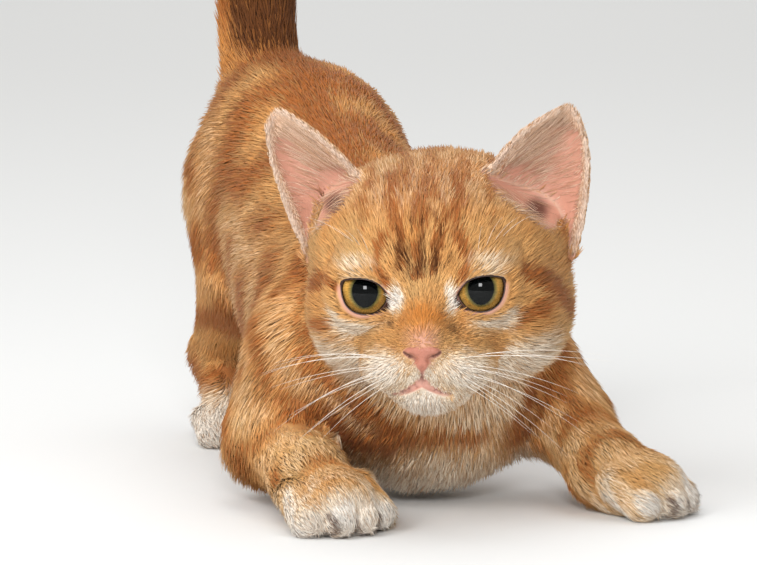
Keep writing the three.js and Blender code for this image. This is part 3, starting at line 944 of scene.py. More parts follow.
# Bars across the body and legs, rings on the tail, and the pale underside
def bodyMarks(p, normals, weight, wobble, fleck):
    across = wave(p[:, 1] - 0.2 * p[:, 2] + wobble, 25)
    body = smooth(-0.15, 0.45, across + 0.08 * fleck)
    spine = smooth(13, 4, np.abs(p[:, 0] - 5 + 2 * wobble)) * smooth(0.2, 0.8, normals[:, 2])
    body = np.maximum(body * 0.9, spine)
    thigh = smooth(-0.1, 0.45, wave(p[:, 2] - 67 + 1.6 * wobble - 0.1 * p[:, 1], 26) + 0.08 * fleck)
    fore = smooth(0.0, 0.6, wave(p[:, 1] - 0.45 * p[:, 2] + 0.8 * wobble, 12.5) + 0.1 * fleck)
    rings = smooth(-0.3, 0.6, wave(p[:, 2] - 150 + 3 * wobble, 34) + 0.2 * fleck)
    # the upper tail is darker on the side that faces forward and towards the cat's left
    tailFront = smooth(-0.35, 0.35, 0.35 * normals[:, 0] - 0.95 * normals[:, 1] - 0.05)
    tailFront *= smooth(124, 138, p[:, 2] + 2 * wobble)
    ruff = p[:, 2] - 0.012 * (p[:, 0] - 10) ** 2 + 1.6 * wobble + 0.8 * fleck
    collar = np.zeros(len(p))
    for height, fade, strength in ((18.5, (4.4, 2.6), 1.0), (30, (4.0, 2.2), 0.95), (10, (2.4, 1.2), 0.7)):
        collar = np.maximum(collar, strength * smooth(*fade, np.abs(ruff - height)))
    chest = smooth(0.15, -0.4, normals[:, 1]) * smooth(-34, -48, p[:, 1])
    trunkShare = weight["trunk"] + weight["neck"]
    stripe = trunkShare * (body * (1 - chest) + collar * chest)
    stripe += weight["tail"] * np.maximum(tailFront, 0.85 * rings)
    between = np.zeros(len(p))  # the ground between the bars of the legs
    for leg in legs:
        bars = fore * 0.8 if leg["kind"] == "fore" else thigh
        stripe += weight["upper" + leg["name"]] * bars + weight["lower" + leg["name"]] * bars * 0.8
        if leg["kind"] == "fore":
            whole = sum(weight[part + leg["name"]] for part in ("upper", "lower", "paw"))
            between += 0.8 * whole * (1 - fore)
        else:
            between += weight["upper" + leg["name"]] * (1 - thigh)

    low = smooth(17, 9, p[:, 2] + 2 * wobble)
    belly = smooth(-0.35, -0.85, normals[:, 2]) * 0.8
    bib = chest * np.clip(0.5 + 0.12 * wobble + 0.35 * low, 0, 1) * (1 - 0.95 * collar)
    flank = 0.36 * (1 - body) * smooth(0.9, 0.4, np.abs(normals[:, 2])) * (1 - chest)
    pale = trunkShare * np.maximum(np.maximum(belly, bib), flank) + 0.42 * between
    for leg in legs:
        pale += weight["paw" + leg["name"]] * whiteToes(p, normals, leg, wobble) * 0.95
        if leg["kind"] == "hind":
            pale += weight["lower" + leg["name"]] * smooth(26, 16, p[:, 2]) * 0.6
    foreEnds = [part + side for part in ("lowerfore", "pawfore") for side in ("Right", "Left")]
    warm = 0.5 - 0.12 * wobble + 0.4 * weight["tail"]
    warm -= 0.25 * sum(weight[part] for part in foreEnds)
    return {"stripe": stripe, "pale": pale, "warm": warm, "dark": tailFront * weight["tail"]}


def whiteToes(p, normals, leg, wobble):
    local = toPaw(p, leg)
    if leg["kind"] == "fore":
        toes = smooth(17, 1, local[:, 1] + 1.5 * wobble + 0.4 * (local[:, 2] - 8))
        sideways = smooth(0.35, 0.9, np.abs(normals @ leg["turn"][:, 0]))
        toes = np.maximum(toes, 0.6 * sideways * smooth(30, 16, local[:, 1]))
    else:
        toes = smooth(40, 24, local[:, 1])
    return np.maximum(toes, smooth(0.1, -0.5, normals[:, 2]) * 0.7)


# Lines down the back of the skull, then the face's own marks
def addHeadMarks(marks, share, q, qNormal, facing, wobble, fleck):
    broken = 0.55 * softNoise(q * np.array([1.6, 1, 0.45]), 5, 6)
    crown = smooth(0.2, 0.8, wave(q[:, 0] + 1.2 * softNoise(q, 14, 5), 9.2) + broken)
    crown *= smooth(26, 18, np.abs(q[:, 0])) * smooth(12, 26, q[:, 2])
    behind = smooth(0, 24, q[:, 1])
    cheeks = smooth(0.1, 0.8, wave(q[:, 2] + 0.35 * q[:, 1] + 2 * wobble, 15) + 0.3 * fleck)
    cheeks *= smooth(24, 36, np.abs(q[:, 0]))
    stripe = np.maximum(crown * (0.6 + 0.3 * behind), cheeks * behind * 0.7)
    uv = facePlane(q, np.array(faceMarks["middle"]))
    uv = uv + 0.45 * np.stack([softNoise(q, 6, 7), softNoise(q, 6, 8)], 1)
    stripe = np.maximum(stripe, facing * capsules(uv, faceMarks["lines"]))
    spots = np.zeros(len(q))  # where the whiskers grow
    for side in (-1, 1):
        for row in range(3):
            for k in range(4):
                u, v = side * (8.5 + 2.6 * k + 0.5 * row), -17.6 - 2.4 * row - 0.35 * k
                spots = np.maximum(spots, smooth(1.15, 0.5, np.hypot(uv[:, 0] - u, uv[:, 1] - v)))
    pale = facing * patch(uv, faceMarks["pale"])
    pale = np.maximum(pale, smooth(-0.1, -0.6, qNormal[:, 2]) * smooth(4, -12, q[:, 1]) * 0.75)
    stripe = np.maximum(stripe * (1 - 0.85 * pale), facing * spots * 0.5)
    marks["stripe"] += share * stripe
    marks["pale"] += share * np.maximum(pale, 0.34 * smooth(16, 32, q[:, 2]) * (1 - stripe))
    sandy = facing * patch(uv, faceMarks["sandy"])
    marks["warm"] -= share * (0.18 - 0.3 * smooth(14, 32, q[:, 2]) + 0.4 * sandy)
    marks["warm"] += share * facing * patch(uv, faceMarks["bridge"])
    bent = 0.5 * softNoise(q * np.array([1, 1, 0.35]), 9, 9)
    streaks = wave(uv[:, 0] * (1 + 0.012 * uv[:, 1]) + bent, 3.9)
    streaks = smooth(0.05, 0.75, streaks + 0.6 * softNoise(q * np.array([1.6, 1, 0.4]), 5, 10))
    between = smooth(1.3, 0.5, np.hypot(uv[:, 0] / 11, (uv[:, 1] - 12) / 12))
    upper = smooth(1.3, 0.6, np.hypot(uv[:, 0] / 17, (uv[:, 1] - 27) / 13))
    marks["dark"] = np.maximum(marks["dark"], facing * share * patch(uv, faceMarks["dark"]))
    marks["dark"] = np.maximum(marks["dark"], 0.62 * facing * share * streaks * between)
    marks["stripe"] += 0.8 * share * facing * streaks * upper * (1 - stripe)
    marks["pink"] = facing * patch(uv, faceMarks["pink"]) * share


# Bare skin: nose leather, lips and the rims of the lids, with painted shade in the nostrils, the mouth
# line and the groove under the nose
def addBareFace(marks, q, facing):
    noseUv = facePlane(q, noseMiddle)
    half = mirrored(noseUv)
    front = smooth(-28, -33, q[:, 1]) * facing
    nose = outlineDistance(noseUv, leatherLine)
    lipLine = lineDistance(half, noseShape["lip"])[0]
    mouth, mouthShare = lineDistance(half, noseShape["mouth"])
    ridge = lineDistance(half, [(0, -3.4), (0, -7.0)])[0]
    nostril, share = lineDistance(half, noseShape["nostril"])
    lips = smooth(1.5, 0.7, lipLine) * front * smooth(-5.5, -6.5, half[:, 1])
    lips = np.maximum(lips, smooth(1.9, 1.0, mouth + 0.9 * mouthShare) * front)
    lips = np.maximum(lips, smooth(1.0, 0.4, ridge) * front)
    sideNostril = smooth(1.2, 0.3, np.hypot((half[:, 0] - 3.0) / 1.5, (half[:, 1] + 1.6) / 1.4))
    sideNostril *= front * 0.4
    # painted shade in the nostrils, along the mouth line and in the groove under the nose
    hollow = 0.9 * smooth(0.6, 0.1, nostril - 0.25 * share) * front
    hollow = np.maximum(hollow, 0.8 * smooth(0.75, 0.2, mouth) * front * (1 - 0.5 * mouthShare))
    hollow = np.maximum(hollow, 0.75 * smooth(0.6, 0.15, ridge) * front * smooth(-3.6, -4.2, half[:, 1]))
    rims = np.zeros(len(q))
    for side in ("right", "left"):
        eyeUv, out = eyePlane(q, side)
        gap = outlineDistance(eyeUv, opening)
        near = (out > 0) & (np.linalg.norm(q - eyeMiddle(side), axis=1) < 14)
        rims = np.maximum(rims, smooth(1.6, 0.6, gap) * near * smooth(3.0, 0.5, eyeUv[:, 1]))
    leather = smooth(0.35, -0.25, nose) * front
    marks.update({"leather": leather, "lips": lips, "hollow": hollow, "rims": rims})
    marks["bare"] = np.max([leather, marks["pink"], lips, sideNostril, rims * 0.8], axis=0)
    marks["nearLips"] = smooth(4.5, 1.5, np.min([mouth, ridge, nose], axis=0)) * front


# The inside of the ears with painted shade in their canals, their pale rims and the hollows under them
def addEars(marks, q, qNormal):
    earGap, earSide, earRise, earAcross = earPlaces(q)
    onEar = smooth(2.2, 0.9, earGap) * smooth(-0.05, 0.06, earRise)
    inner = onEar * smooth(0.25, -0.25, qNormal[:, 1])
    bowl = hollowDistance(q)
    concha = smooth(1.3, 0.5, bowl) * smooth(2, 8, q[:, 2]) * (earSide != 0)
    fold = smooth(6, 3.5, earGap) * smooth(4, 1.5, bowl)
    concha = np.maximum(concha, fold * (earSide != 0) * (q[:, 1] < 13))
    concha *= 1 - smooth(2.0, 1.2, earGap)
    onEar, inner = np.maximum(onEar, concha), np.maximum(inner, concha)
    rim = onEar * smooth(0.88, 0.96, np.maximum(np.abs(earAcross), earRise)) * (0.25 + 0.75 * inner)
    rim *= (1 - concha) * smooth(0.0, 0.14, earRise)
    noseUv = facePlane(q, noseMiddle)
    toCanals = [np.linalg.norm(noseUv - np.array(at), axis=1) for at in earShape["canals"]]
    canal = smooth(5.5, 1.5, np.min(toCanals, axis=0))
    # painted shade in the ear canals
    marks["dark"] = np.maximum(marks["dark"], inner * 0.85 * canal)
    marks["bare"] = np.maximum(marks["bare"], inner * 0.9 * (1 - rim))
    marks["stripe"] *= 1 - inner
    pale = np.clip(np.maximum(marks["pale"], rim * 0.8), 0, 1)
    marks["pale"] = np.where(inner > 0.5, np.maximum(pale, 0.66), pale)
    marks["blush"] = np.maximum(marks["pink"], 0.38 * inner)
    marks["lip"] = smooth(9, 1.5, bowl) * smooth(0, 12, q[:, 2]) * (1 - onEar)
    marks.update({"onEar": onEar, "inner": inner, "concha": concha, "canal": inner * canal})
    marks.update({"earAcross": earAcross, "earRise": earRise})


# Painted shade in the clefts between the toes, and the pads under them
def addToes(marks, p, normals, weight):
    cleftShade = np.zeros(len(p))
    for leg in legs:
        local, wide = toPaw(p, leg), legSizes[leg["kind"]]["width"] / 4
        gap = np.min([np.abs(local[:, 0] - place * wide) for place in (-1, 0, 1)], axis=0)
        toeCleftShade = weight["paw" + leg["name"]] * smooth(1.1, 0.4, gap)
        cleftShade = np.maximum(cleftShade, toeCleftShade * smooth(15, 8, local[:, 1]) * smooth(13, 7, local[:, 2]))
    # the painted shade between the toes goes into the dark marks
    marks["dark"] = np.maximum(marks["dark"], 0.7 * cleftShade * smooth(-30, -50, p[:, 1]))
    pads = smooth(2.2, 0.9, p[:, 2]) * smooth(-0.3, -0.8, normals[:, 2])
    marks["bare"] = np.maximum(marks["bare"], pads)


def markings(p, normals, names, weights):
    q, qNormal = toHead(p), normals @ headTurn
    weight = {name + (leg["name"] if leg else ""): weights[:, i] for i, (name, leg) in enumerate(names)}
    wobble = softNoise(p, 34, 3)
    fleck = softNoise(p * np.array([1, 0.5, 0.5]), 5.5, 4)
    facing = smooth(0.0, 0.4, qNormal @ faceOut)
    marks = bodyMarks(p, normals, weight, wobble, fleck)
    addHeadMarks(marks, weight["head"], q, qNormal, facing, wobble, fleck)
    addBareFace(marks, q, facing)
    addEars(marks, q, qNormal)
    addToes(marks, p, normals, weight)
    # the painted shade of the nostrils, mouth line and groove joins the dark marks
    marks["dark"] = np.maximum(marks["dark"], marks["hollow"])
    for name in ("stripe", "pale", "bare", "warm", "dark"):
        marks[name] = np.clip(marks[name], 0, 1)
    return marks


def earPlaces(q):
    gap, sideOf = np.full(len(q), 50.0), np.zeros(len(q))
    rise, across = np.zeros(len(q)), np.zeros(len(q))
    for side, sign in (("right", -1), ("left", 1)):
        tree, points, rises, sides = earTrees[side]
        for i in np.nonzero((q[:, 0] * sign > 8) & (q[:, 2] > 0) & (q[:, 1] > -22) & (q[:, 1] < 26))[0]:
            place, _, face, d = tree.find_nearest(Vector(q[i]))
            row, column = divmod(face, earGrid - 1)
            corner = row * earGrid + column
            along = points[corner + earGrid] - points[corner]
            over = points[corner + 1] - points[corner]
            step = np.array(place) - points[corner]
            t = np.clip(step @ along / max(along @ along, 1e-9), 0, 1)
            s = np.clip(step @ over / max(over @ over, 1e-9), 0, 1)
            gap[i], sideOf[i] = d, sign
            rise[i] = rises[corner] + t / (earGrid - 1)
            across[i] = sides[corner] + 2 * s / (earGrid - 1)
    return gap, sideOf, rise, across


def lieOfCoat(p, normals, names, weights, marks):
    q = toHead(p)
    lie = np.zeros_like(p)
    at = np.argmin(np.linalg.norm(p[:, None, :] - tailLine[None, ::2, :], axis=2), axis=1) * 2
    ways = {
        "head": unit(q - np.array([0, -43, -8.0])) @ headTurn.T,
        "neck": unit(np.array([0, 0.75, -0.9])),
        "trunk": unit(np.array([0, 1, -0.55])),
        "tail": unit(tailLine[np.minimum(at + 1, len(tailLine) - 1)] - tailLine[np.maximum(at - 1, 0)]),
    }
    for i, (name, leg) in enumerate(names):
        if leg:
            root, joint, foot = [np.array(leg[key], float) for key in ("root", "joint", "foot")]
            ways["upper"] = unit(joint - root + (0, 12, 0))
            ways["lower"] = unit(foot - joint)
            ways["paw"] = unit(leg["turn"] @ np.array([0, -1, -0.45]))
        lie += weights[:, i : i + 1] * ways[name]
    across, rise = marks["earAcross"], marks["earRise"]
    outward = np.sign(q[:, 0])
    earWay = np.stack([outward * (0.35 - 0.5 * smooth(0.5, 1, across)), 0 * across, 1 + 0 * across], 1)
    innerWay = np.stack([outward, -0.3 + 0 * across, 0.1 + 0.75 * rise], 1)
    share = np.maximum(marks["concha"], smooth(0.94, 0.76, np.maximum(np.abs(across), rise)))
    share = (marks["inner"] * share)[:, None]
    earWay = innerWay * share + earWay * (1 - share)
    lie = lie * (1 - marks["onEar"][:, None]) + marks["onEar"][:, None] * (unit(earWay) @ headTurn.T)
    lie -= normals * dotRows(lie, normals)[:, None]
    return unit(lie)


def store(mesh, name, kind, values):
    attribute = mesh.attributes.get(name) or mesh.attributes.new(name, kind, "POINT")
    field = {"FLOAT": "value", "FLOAT_VECTOR": "vector", "FLOAT_COLOR": "color"}[kind]
    attribute.data.foreach_set(field, np.asarray(values, np.float32).ravel())


p = toCat(placesOf(skinMesh))
normals = normalsOf(skinMesh)
edges = edgesOf(skinMesh)
names, weights = partWeights(p)
q = toHead(p)
marks = markings(p, normals, names, weights)
lie = unit(evened(lieOfCoat(p, normals, names, weights, marks), edges, 0.6, 6))
keys = ("length", "width", "depth", "density")
length, width, depth, density = [coatMeasure(names, weights, q, key) for key in keys]
onEar, inner = marks["onEar"], marks["inner"]
across, rise = marks["earAcross"], marks["earRise"]
rimShare = smooth(0.72, 0.92, np.maximum(np.abs(across), rise)) * (1 - marks["concha"])
room = 0.42 * (1 - across) * 34 * (1 - 0.6 * rise)  # from here to the ear's outer edge
hairInside = np.minimum(9.5 - 3 * across, 1.5 + room) * (1 - rimShare) + 1.9 * rimShare


def withEars(value, inside, behind):
    return value * (1 - onEar) + onEar * np.where(inner > 0.5, inside, behind)


length = withEars(length, hairInside, 2.8 - 0.9 * rimShare)
width = withEars(width, 0.13 + 0.1 * rimShare, 0.3)
density = withEars(density, 2.2 * smooth(0.5, -0.9, across) + 0.3 + 4.5 * rimShare, 5.5)
density *= (1 - 0.7 * marks["concha"]) * (1 - marks["canal"])
depth = withEars(depth, 1.7 * (1 - rimShare) + 0.35 * rimShare, 0.6)
length *= (1 - 0.62 * marks["nearLips"]) * (1 - 0.6 * marks["lip"])
depth *= (1 - 0.45 * marks["nearLips"]) * (1 - 0.5 * marks["lip"])
bareSkin = np.max([marks[name] for name in ("leather", "rims", "hollow", "lips")], axis=0)
density *= smooth(0.55, 0.1, bareSkin) * np.where(p[:, 2] < 1.0, 0.25, 1.0)
for side in ("right", "left"):
    density *= np.where(np.linalg.norm(q - eyeMiddle(side), axis=1) < eyeShape["ball"] + 0.25, 0, 1)
lift = np.arcsin(np.clip(depth / length * 0.72, 0.04, 0.6))
tailEnd = smooth(14, 4, np.linalg.norm(p - tailLine[-1], axis=1))
lift += 1.1 * tailEnd * smooth(0.3, 0.95, normals @ unit(tailLine[-1] - tailLine[-3]))
length *= 1 - 0.25 * tailEnd
masks = {"marks": ("stripe", "pale", "bare", "warm"), "tones": ("dark", "leather", "inner", "blush")}
for name, parts in masks.items():
    store(skinMesh, name, "FLOAT_COLOR", np.stack([marks[part] for part in parts], 1))
store(skinMesh, "lie", "FLOAT_VECTOR", lie)
tuftFields = {"Width": width / 1000, "Lift": lift, "Length": length / 1000, "Density": density * 1e6}
for name, values in tuftFields.items():
    store(skinMesh, "tuft" + name, "FLOAT", values)
print("markings and lie of the coat stored")

# Regions of the coat, one piece each
regionNames = "headRight headLeft neck chest back rump foreLegs hindLegs tail paws".split()
best = np.argmax(weights, 1)
partOf = np.array([name for name, leg in names])[best]
legOf = np.array([leg["kind"] if leg else "" for name, leg in names])[best]
onLeg, onTrunk = np.isin(partOf, ("upper", "lower")), partOf == "trunk"
rules = [  # the first that fits
    ("paws", partOf == "paw"),
    ("tail", partOf == "tail"),
    ("foreLegs", onLeg & (legOf == "fore")),
    ("hindLegs", onLeg),
    ("chest", onTrunk & (p[:, 1] < 0)),
    ("back", onTrunk & (p[:, 1] < 62)),
    ("rump", onTrunk),
    ("neck", (partOf == "neck") & (onEar <= 0.3)),
    ("headRight", q[:, 0] <= 0),
    ("headLeft", q[:, 0] > 0),
]
region = np.select([fits for name, fits in rules], [regionNames.index(name) for name, fits in rules])
faceRegion = skinMesh.attributes.new("region", "INT", "FACE")
faceRegion.data.foreach_set("value", [int(region[f.vertices[0]]) for f in skinMesh.polygons])

skin = newObject("skin", skinMesh)
bpy.context.view_layer.objects.active = skin
skin.select_set(True)
bpy.ops.object.mode_set(mode="EDIT")
bpy.ops.mesh.select_all(action="SELECT")
skinMesh.uv_layers.new(name="OFBake")
bpy.ops.uv.smart_project(angle_limit=math.radians(72), island_margin=0.004)
bpy.ops.object.mode_set(mode="OBJECT")
skin.select_set(False)
print("skin unwrapped")


# Node helpers
class Nodes:
    def __init__(self, tree):
        self.tree = tree

    def add(self, kind, inputs=None, **settings):
        node = self.tree.nodes.new(kind)
        for key, value in settings.items():
            setattr(node, key, value)
        self.dress(node, inputs or {})
        return node

    def dress(self, node, inputs):
        for key, value in inputs.items():
            if isinstance(value, bpy.types.NodeSocket):
                self.tree.links.new(value, node.inputs[key])
            elif value is not None:
                node.inputs[key].default_value = value

    def math(self, operation, a, b=None):
        return self.add("ShaderNodeMath", {0: a, 1: b}, operation=operation).outputs[0]

    def mix(self, share, a, b):
        return self.add("ShaderNodeMix", {0: share, 6: a, 7: b}, data_type="RGBA").outputs[2]

    def place(self):
        return self.add("ShaderNodeTexCoord").outputs["Object"]

    def noise(self, place, scale, detail=2.0):
        inputs = {"Vector": place, "Scale": scale, "Detail": detail}
        return self.add("ShaderNodeTexNoise", inputs).outputs[0]

    def ranged(self, value, ends, made, how="LINEAR"):
        inputs = {0: value, 1: ends[0], 2: ends[1], 3: made[0], 4: made[1]}
        return self.add("ShaderNodeMapRange", inputs, interpolation_type=how).outputs[0]

    def vector(self, operation, inputs):
        return self.add("ShaderNodeVectorMath", inputs, operation=operation).outputs[0]

    def joined(self, x=None, y=None, z=None):
        return self.add("ShaderNodeCombineXYZ", {0: x, 1: y, 2: z}).outputs[0]

    def bump(self, height, strength, distance):
        inputs = {"Height": height, "Strength": strength, "Distance": distance}
        return self.add("ShaderNodeBump", inputs).outputs[0]

    def separated(self, colour):
        return self.add("ShaderNodeSeparateColor", {0: colour}).outputs


def named(nodes, name, kind="FLOAT"):
    node = nodes.add("GeometryNodeInputNamedAttribute", {"Name": name}, data_type=kind)
    return node.outputs["Attribute"]


# Colour of the coat, shared by the skin and every piece of fur, with painted shade towards each tuft's
# root and painted light towards its tip
coatColours = {
    "sandy": (0.71, 0.42, 0.17, 1),
    "orange": (0.70, 0.275, 0.06, 1),
    "rust": (0.38, 0.115, 0.026, 1),
    # brown serves the dark marks and also the painted shade of the ear canals and toe clefts
    "brown": (0.085, 0.03, 0.009, 1),
    "cream": (0.87, 0.66, 0.41, 1),
    "white": (0.90, 0.85, 0.78, 1),
    "blush": (0.74, 0.38, 0.27, 1),
}


def coatColourGroup():
    tree = bpy.data.node_groups.new("coatColour", "ShaderNodeTree")
    for name in ("Marks", "Warm", "Tones", "Blush", "Along", "Shade"):
        kind = "Color" if name in ("Marks", "Tones") else "Float"
        tree.interface.new_socket(name, in_out="INPUT", socket_type="NodeSocket" + kind)
    tree.interface.new_socket("Colour", in_out="OUTPUT", socket_type="NodeSocketColor")
    n = Nodes(tree)
    given = n.add("NodeGroupInput").outputs
    marks, tones = n.separated(given["Marks"]), n.separated(given["Tones"])
    drift = n.ranged(n.noise(n.place(), 140.0, 3.0), (0.3, 0.7), (-0.18, 0.18))
    ground = n.mix(n.math("ADD", given["Warm"], drift), coatColours["sandy"], coatColours["orange"])
    uneven = n.math("MULTIPLY", n.math("SUBTRACT", given["Shade"], 0.5), 0.5)

    def edged(mask, strength):
        ragged = n.math("ADD", mask, n.math("MULTIPLY", uneven, n.math("MULTIPLY", mask, 2.0)))
        return n.ranged(ragged, (0.1, 0.9), (0.0, strength), "SMOOTHSTEP")

    striped = n.mix(edged(marks[0], 0.92), ground, coatColours["rust"])
    light = n.mix(n.math("MULTIPLY", marks[1], marks[1]), coatColours["cream"], coatColours["white"])
    paled = n.mix(edged(marks[1], 0.95), striped, light)
    blushed = n.mix(n.math("MULTIPLY", given["Blush"], 0.8), paled, coatColours["blush"])
    # dark marks, with the painted shade of the ear canals, toe clefts, nostrils and mouth line
    browned = n.mix(edged(tones[0], 0.9), blushed, coatColours["brown"])
    # painted shade and light along each tuft: darker at the root, lighter at the tip
    tip = n.ranged(given["Along"], (0.0, 1.0), (0.72, 1.14))
    shade = n.ranged(given["Shade"], (0.0, 1.0), (0.8, 1.2))
    lit = n.vector("SCALE", {0: browned, 3: n.math("MULTIPLY", tip, shade)})
    n.tree.links.new(lit, n.add("NodeGroupOutput").inputs[0])
    return tree


coatColour = coatColourGroup()


def newMaterial(name, kind="ShaderNodeBsdfPrincipled"):
    material = bpy.data.materials.new(name)
    material.use_nodes = True
    material.node_tree.nodes.clear()
    n = Nodes(material.node_tree)
    shader = n.add(kind)
    n.add("ShaderNodeOutputMaterial", {"Surface": shader.outputs[0]})
    return material, n, shader


def attributeOf(n, name, output="Fac"):
    return n.add("ShaderNodeAttribute", attribute_name=name).outputs[output]


def maskOf(n, name):
    node = n.add("ShaderNodeAttribute", attribute_name=name)
    return node.outputs["Color"], node.outputs["Alpha"]


def colourFrom(n, along, shade):
    (marks, warm), (tones, blush) = maskOf(n, "marks"), maskOf(n, "tones")
    given = {"Marks": marks, "Warm": warm, "Tones": tones, "Blush": blush, "Along": along, "Shade": shade}
    return n.add("ShaderNodeGroup", given, node_tree=coatColour).outputs[0], marks, tones


furLook = {"Roughness": 0.6, "Sheen Weight": 0.03, "Specular IOR Level": 0.15}
furMaterial, n, shader = newMaterial("shortFur")
colour = colourFrom(n, attributeOf(n, "along"), attributeOf(n, "tuftShade"))[0]
n.dress(shader, {"Base Color": colour, **furLook})

skinLook = {
    "pink": (0.70, 0.36, 0.28, 1),
    "nose": (0.52, 0.20, 0.135, 1),
    "ear": (0.70, 0.33, 0.235, 1),
    # lines serves the skin's fine dark lines and marks and also painted shade in the nostrils, mouth, ear
    # canals and toe clefts
    "lines": (0.07, 0.022, 0.015, 1),
}
skinMaterial, n, shader = newMaterial("skinUnderFur")
# the skin under the fur takes a tuft root's painted shade, so it is painted darker
colour, marks, tones = colourFrom(n, 0.3, 0.45)
part, tone = n.separated(marks), n.separated(tones)
place = n.place()
bareColour = n.mix(tone[2], skinLook["pink"], skinLook["ear"])
bareColour = n.mix(tone[1], bareColour, skinLook["nose"])
bareColour = n.mix(n.math("MULTIPLY", n.noise(place, 260.0, 4.0), 0.25), bareColour, skinLook["lines"])
colour = n.mix(part[2], colour, bareColour)
# dark marks on the skin, with the painted shade of the nostrils, mouth line, ear canals and toe clefts
colour = n.mix(tone[0], colour, skinLook["lines"])
roughness = n.ranged(part[2], (0.0, 1.0), (0.85, 0.42))
pebbles = n.add("ShaderNodeTexVoronoi", {"Vector": place, "Scale": 2100.0}).outputs[0]
bump = n.bump(n.mix(tone[1], n.noise(place, 1500.0, 3.0), pebbles), 0.35, 0.0004)
n.dress(shader, {"Base Color": colour, "Normal": bump, "Roughness": roughness})
skinMesh.materials.clear()
skinMesh.materials.append(skinMaterial)

# One tuft: a lock that starts at a point, widens and ends at a point, arched over its length
tuftShape = {"widest": 0.36, "arch": 0.55, "ridge": 0.34}
tuftMesh = bpy.data.meshes.new("tuft")
w, arch, ridge = tuftShape["widest"], tuftShape["arch"], tuftShape["ridge"]
tuftMesh.from_pydata(
    [(0, 0, 0), (-0.5, w, arch), (0.5, w, arch), (0, w, arch + ridge), (0, 1, 0)],
    [],
    [(0, 1, 2), (0, 3, 1), (0, 2, 3), (4, 2, 1), (4, 1, 3), (4, 3, 2)],
)
store(tuftMesh, "along", "FLOAT", [0, w, w, w + 0.05, 1])
store(tuftMesh, "across", "FLOAT", [0, -1, 1, 0, 0])
tuft = newObject("tuftShape", tuftMesh)


def coatTree():
    tree = bpy.data.node_groups.new("coatTufts", "GeometryNodeTree")
    inputs = [
        ("Geometry", "Geometry", None), ("Tuft", "Object", None), ("Coat", "Material", None),
        ("Region", "Int", 0), ("Seed", "Int", 1), ("Patch", "Float", 0.003),
        ("Turn spread", "Float", 0.22), ("Lift spread", "Float", 0.1), ("Size spread", "Float", 0.25),
    ]
    for name, kind, value in inputs:
        socket = tree.interface.new_socket(name, in_out="INPUT", socket_type="NodeSocket" + kind)
        if value is not None:
            socket.default_value = value
    tree.interface.new_socket("Geometry", in_out="OUTPUT", socket_type="NodeSocketGeometry")
    n = Nodes(tree)
    given = n.add("NodeGroupInput").outputs
    compared = {2: named(n, "region", "INT"), 3: given["Region"]}
    chosen = n.add("FunctionNodeCompare", compared, data_type="INT", operation="EQUAL")
    roots = {"Mesh": given["Geometry"], "Selection": chosen.outputs[0], "Seed": given["Seed"]}
    spread = n.add("GeometryNodeDistributePointsOnFaces", {**roots, "Density": named(n, "tuftDensity")})

    def stored(geometry, name, kind, value, domain="POINT"):
        inputs = {"Geometry": geometry, "Name": name, "Value": value}
        return n.add("GeometryNodeStoreNamedAttribute", inputs, data_type=kind, domain=domain).outputs[0]

    def chance(low, high, salt):
        inputs = {2: low, 3: high, "Seed": n.math("ADD", given["Seed"], salt)}
        return n.add("FunctionNodeRandomValue", inputs, data_type="FLOAT").outputs[1]

    points = stored(spread.outputs["Points"], "rootNormal", "FLOAT_VECTOR", spread.outputs["Normal"])
    points = stored(points, "rootPlace", "FLOAT_VECTOR", named(n, "OFBake", "FLOAT_VECTOR"))
    points = stored(points, "tuftShade", "FLOAT", chance(0.0, 1.0, 11))
    axes = {0: named(n, "lie", "FLOAT_VECTOR"), 1: named(n, "rootNormal", "FLOAT_VECTOR")}
    base = n.add("FunctionNodeAxesToRotation", axes, primary_axis="Y", secondary_axis="Z")
    spreadOf = {name: given[name + " spread"] for name in ("Turn", "Lift", "Size")}
    lift = chance(n.math("MULTIPLY", spreadOf["Lift"], -1.0), spreadOf["Lift"], 23)
    lift = n.math("ADD", named(n, "tuftLift"), lift)
    turn = chance(n.math("MULTIPLY", spreadOf["Turn"], -1.0), spreadOf["Turn"], 37)
    euler = n.add("FunctionNodeEulerToRotation", {0: n.joined(lift, chance(-0.5, 0.5, 41), turn)})
    turns = {"Rotation": base.outputs[0], "Rotate By": euler.outputs[0]}
    rotation = n.add("FunctionNodeRotateRotation", turns, rotation_space="LOCAL")
    size = chance(n.math("SUBTRACT", 1.0, spreadOf["Size"]), n.math("ADD", 1.0, spreadOf["Size"]), 53)
    wide = n.math("MULTIPLY", named(n, "tuftWidth"), size)
    long = n.math("MULTIPLY", named(n, "tuftLength"), size)
    shape = n.add("GeometryNodeObjectInfo", {"Object": given["Tuft"]}).outputs["Geometry"]
    placing = {"Points": points, "Instance": shape, "Rotation": rotation.outputs[0]}
    placed = n.add("GeometryNodeInstanceOnPoints", {**placing, "Scale": n.joined(wide, long, wide)})
    real = n.add("GeometryNodeRealizeInstances", {0: placed.outputs[0]}).outputs[0]
    across = n.math("MULTIPLY", named(n, "across"), 0.5)
    along = n.math("SUBTRACT", named(n, "along"), 0.5)
    shift = n.vector("SCALE", {0: n.joined(across, along), 3: given["Patch"]})
    place = n.vector("ADD", {0: named(n, "rootPlace", "FLOAT_VECTOR"), 1: shift})
    for name in ("OFBake", "lie", "tuftLength", "tuftWidth", "tuftLift", "tuftDensity"):
        real = n.add("GeometryNodeRemoveAttribute", {"Geometry": real, "Name": name}).outputs[0]
    real = stored(real, "OFBake", "FLOAT2", place, "CORNER")
    real = n.add("GeometryNodeSetShadeSmooth", {"Geometry": real}).outputs[0]
    real = n.add("GeometryNodeSetMaterial", {"Geometry": real, "Material": given["Coat"]}).outputs[0]
    n.tree.links.new(real, n.add("NodeGroupOutput").inputs[0])
    return tree


def clear(mesh, names):
    for name in names:
        if name in mesh.attributes:
            mesh.attributes.remove(mesh.attributes[name])


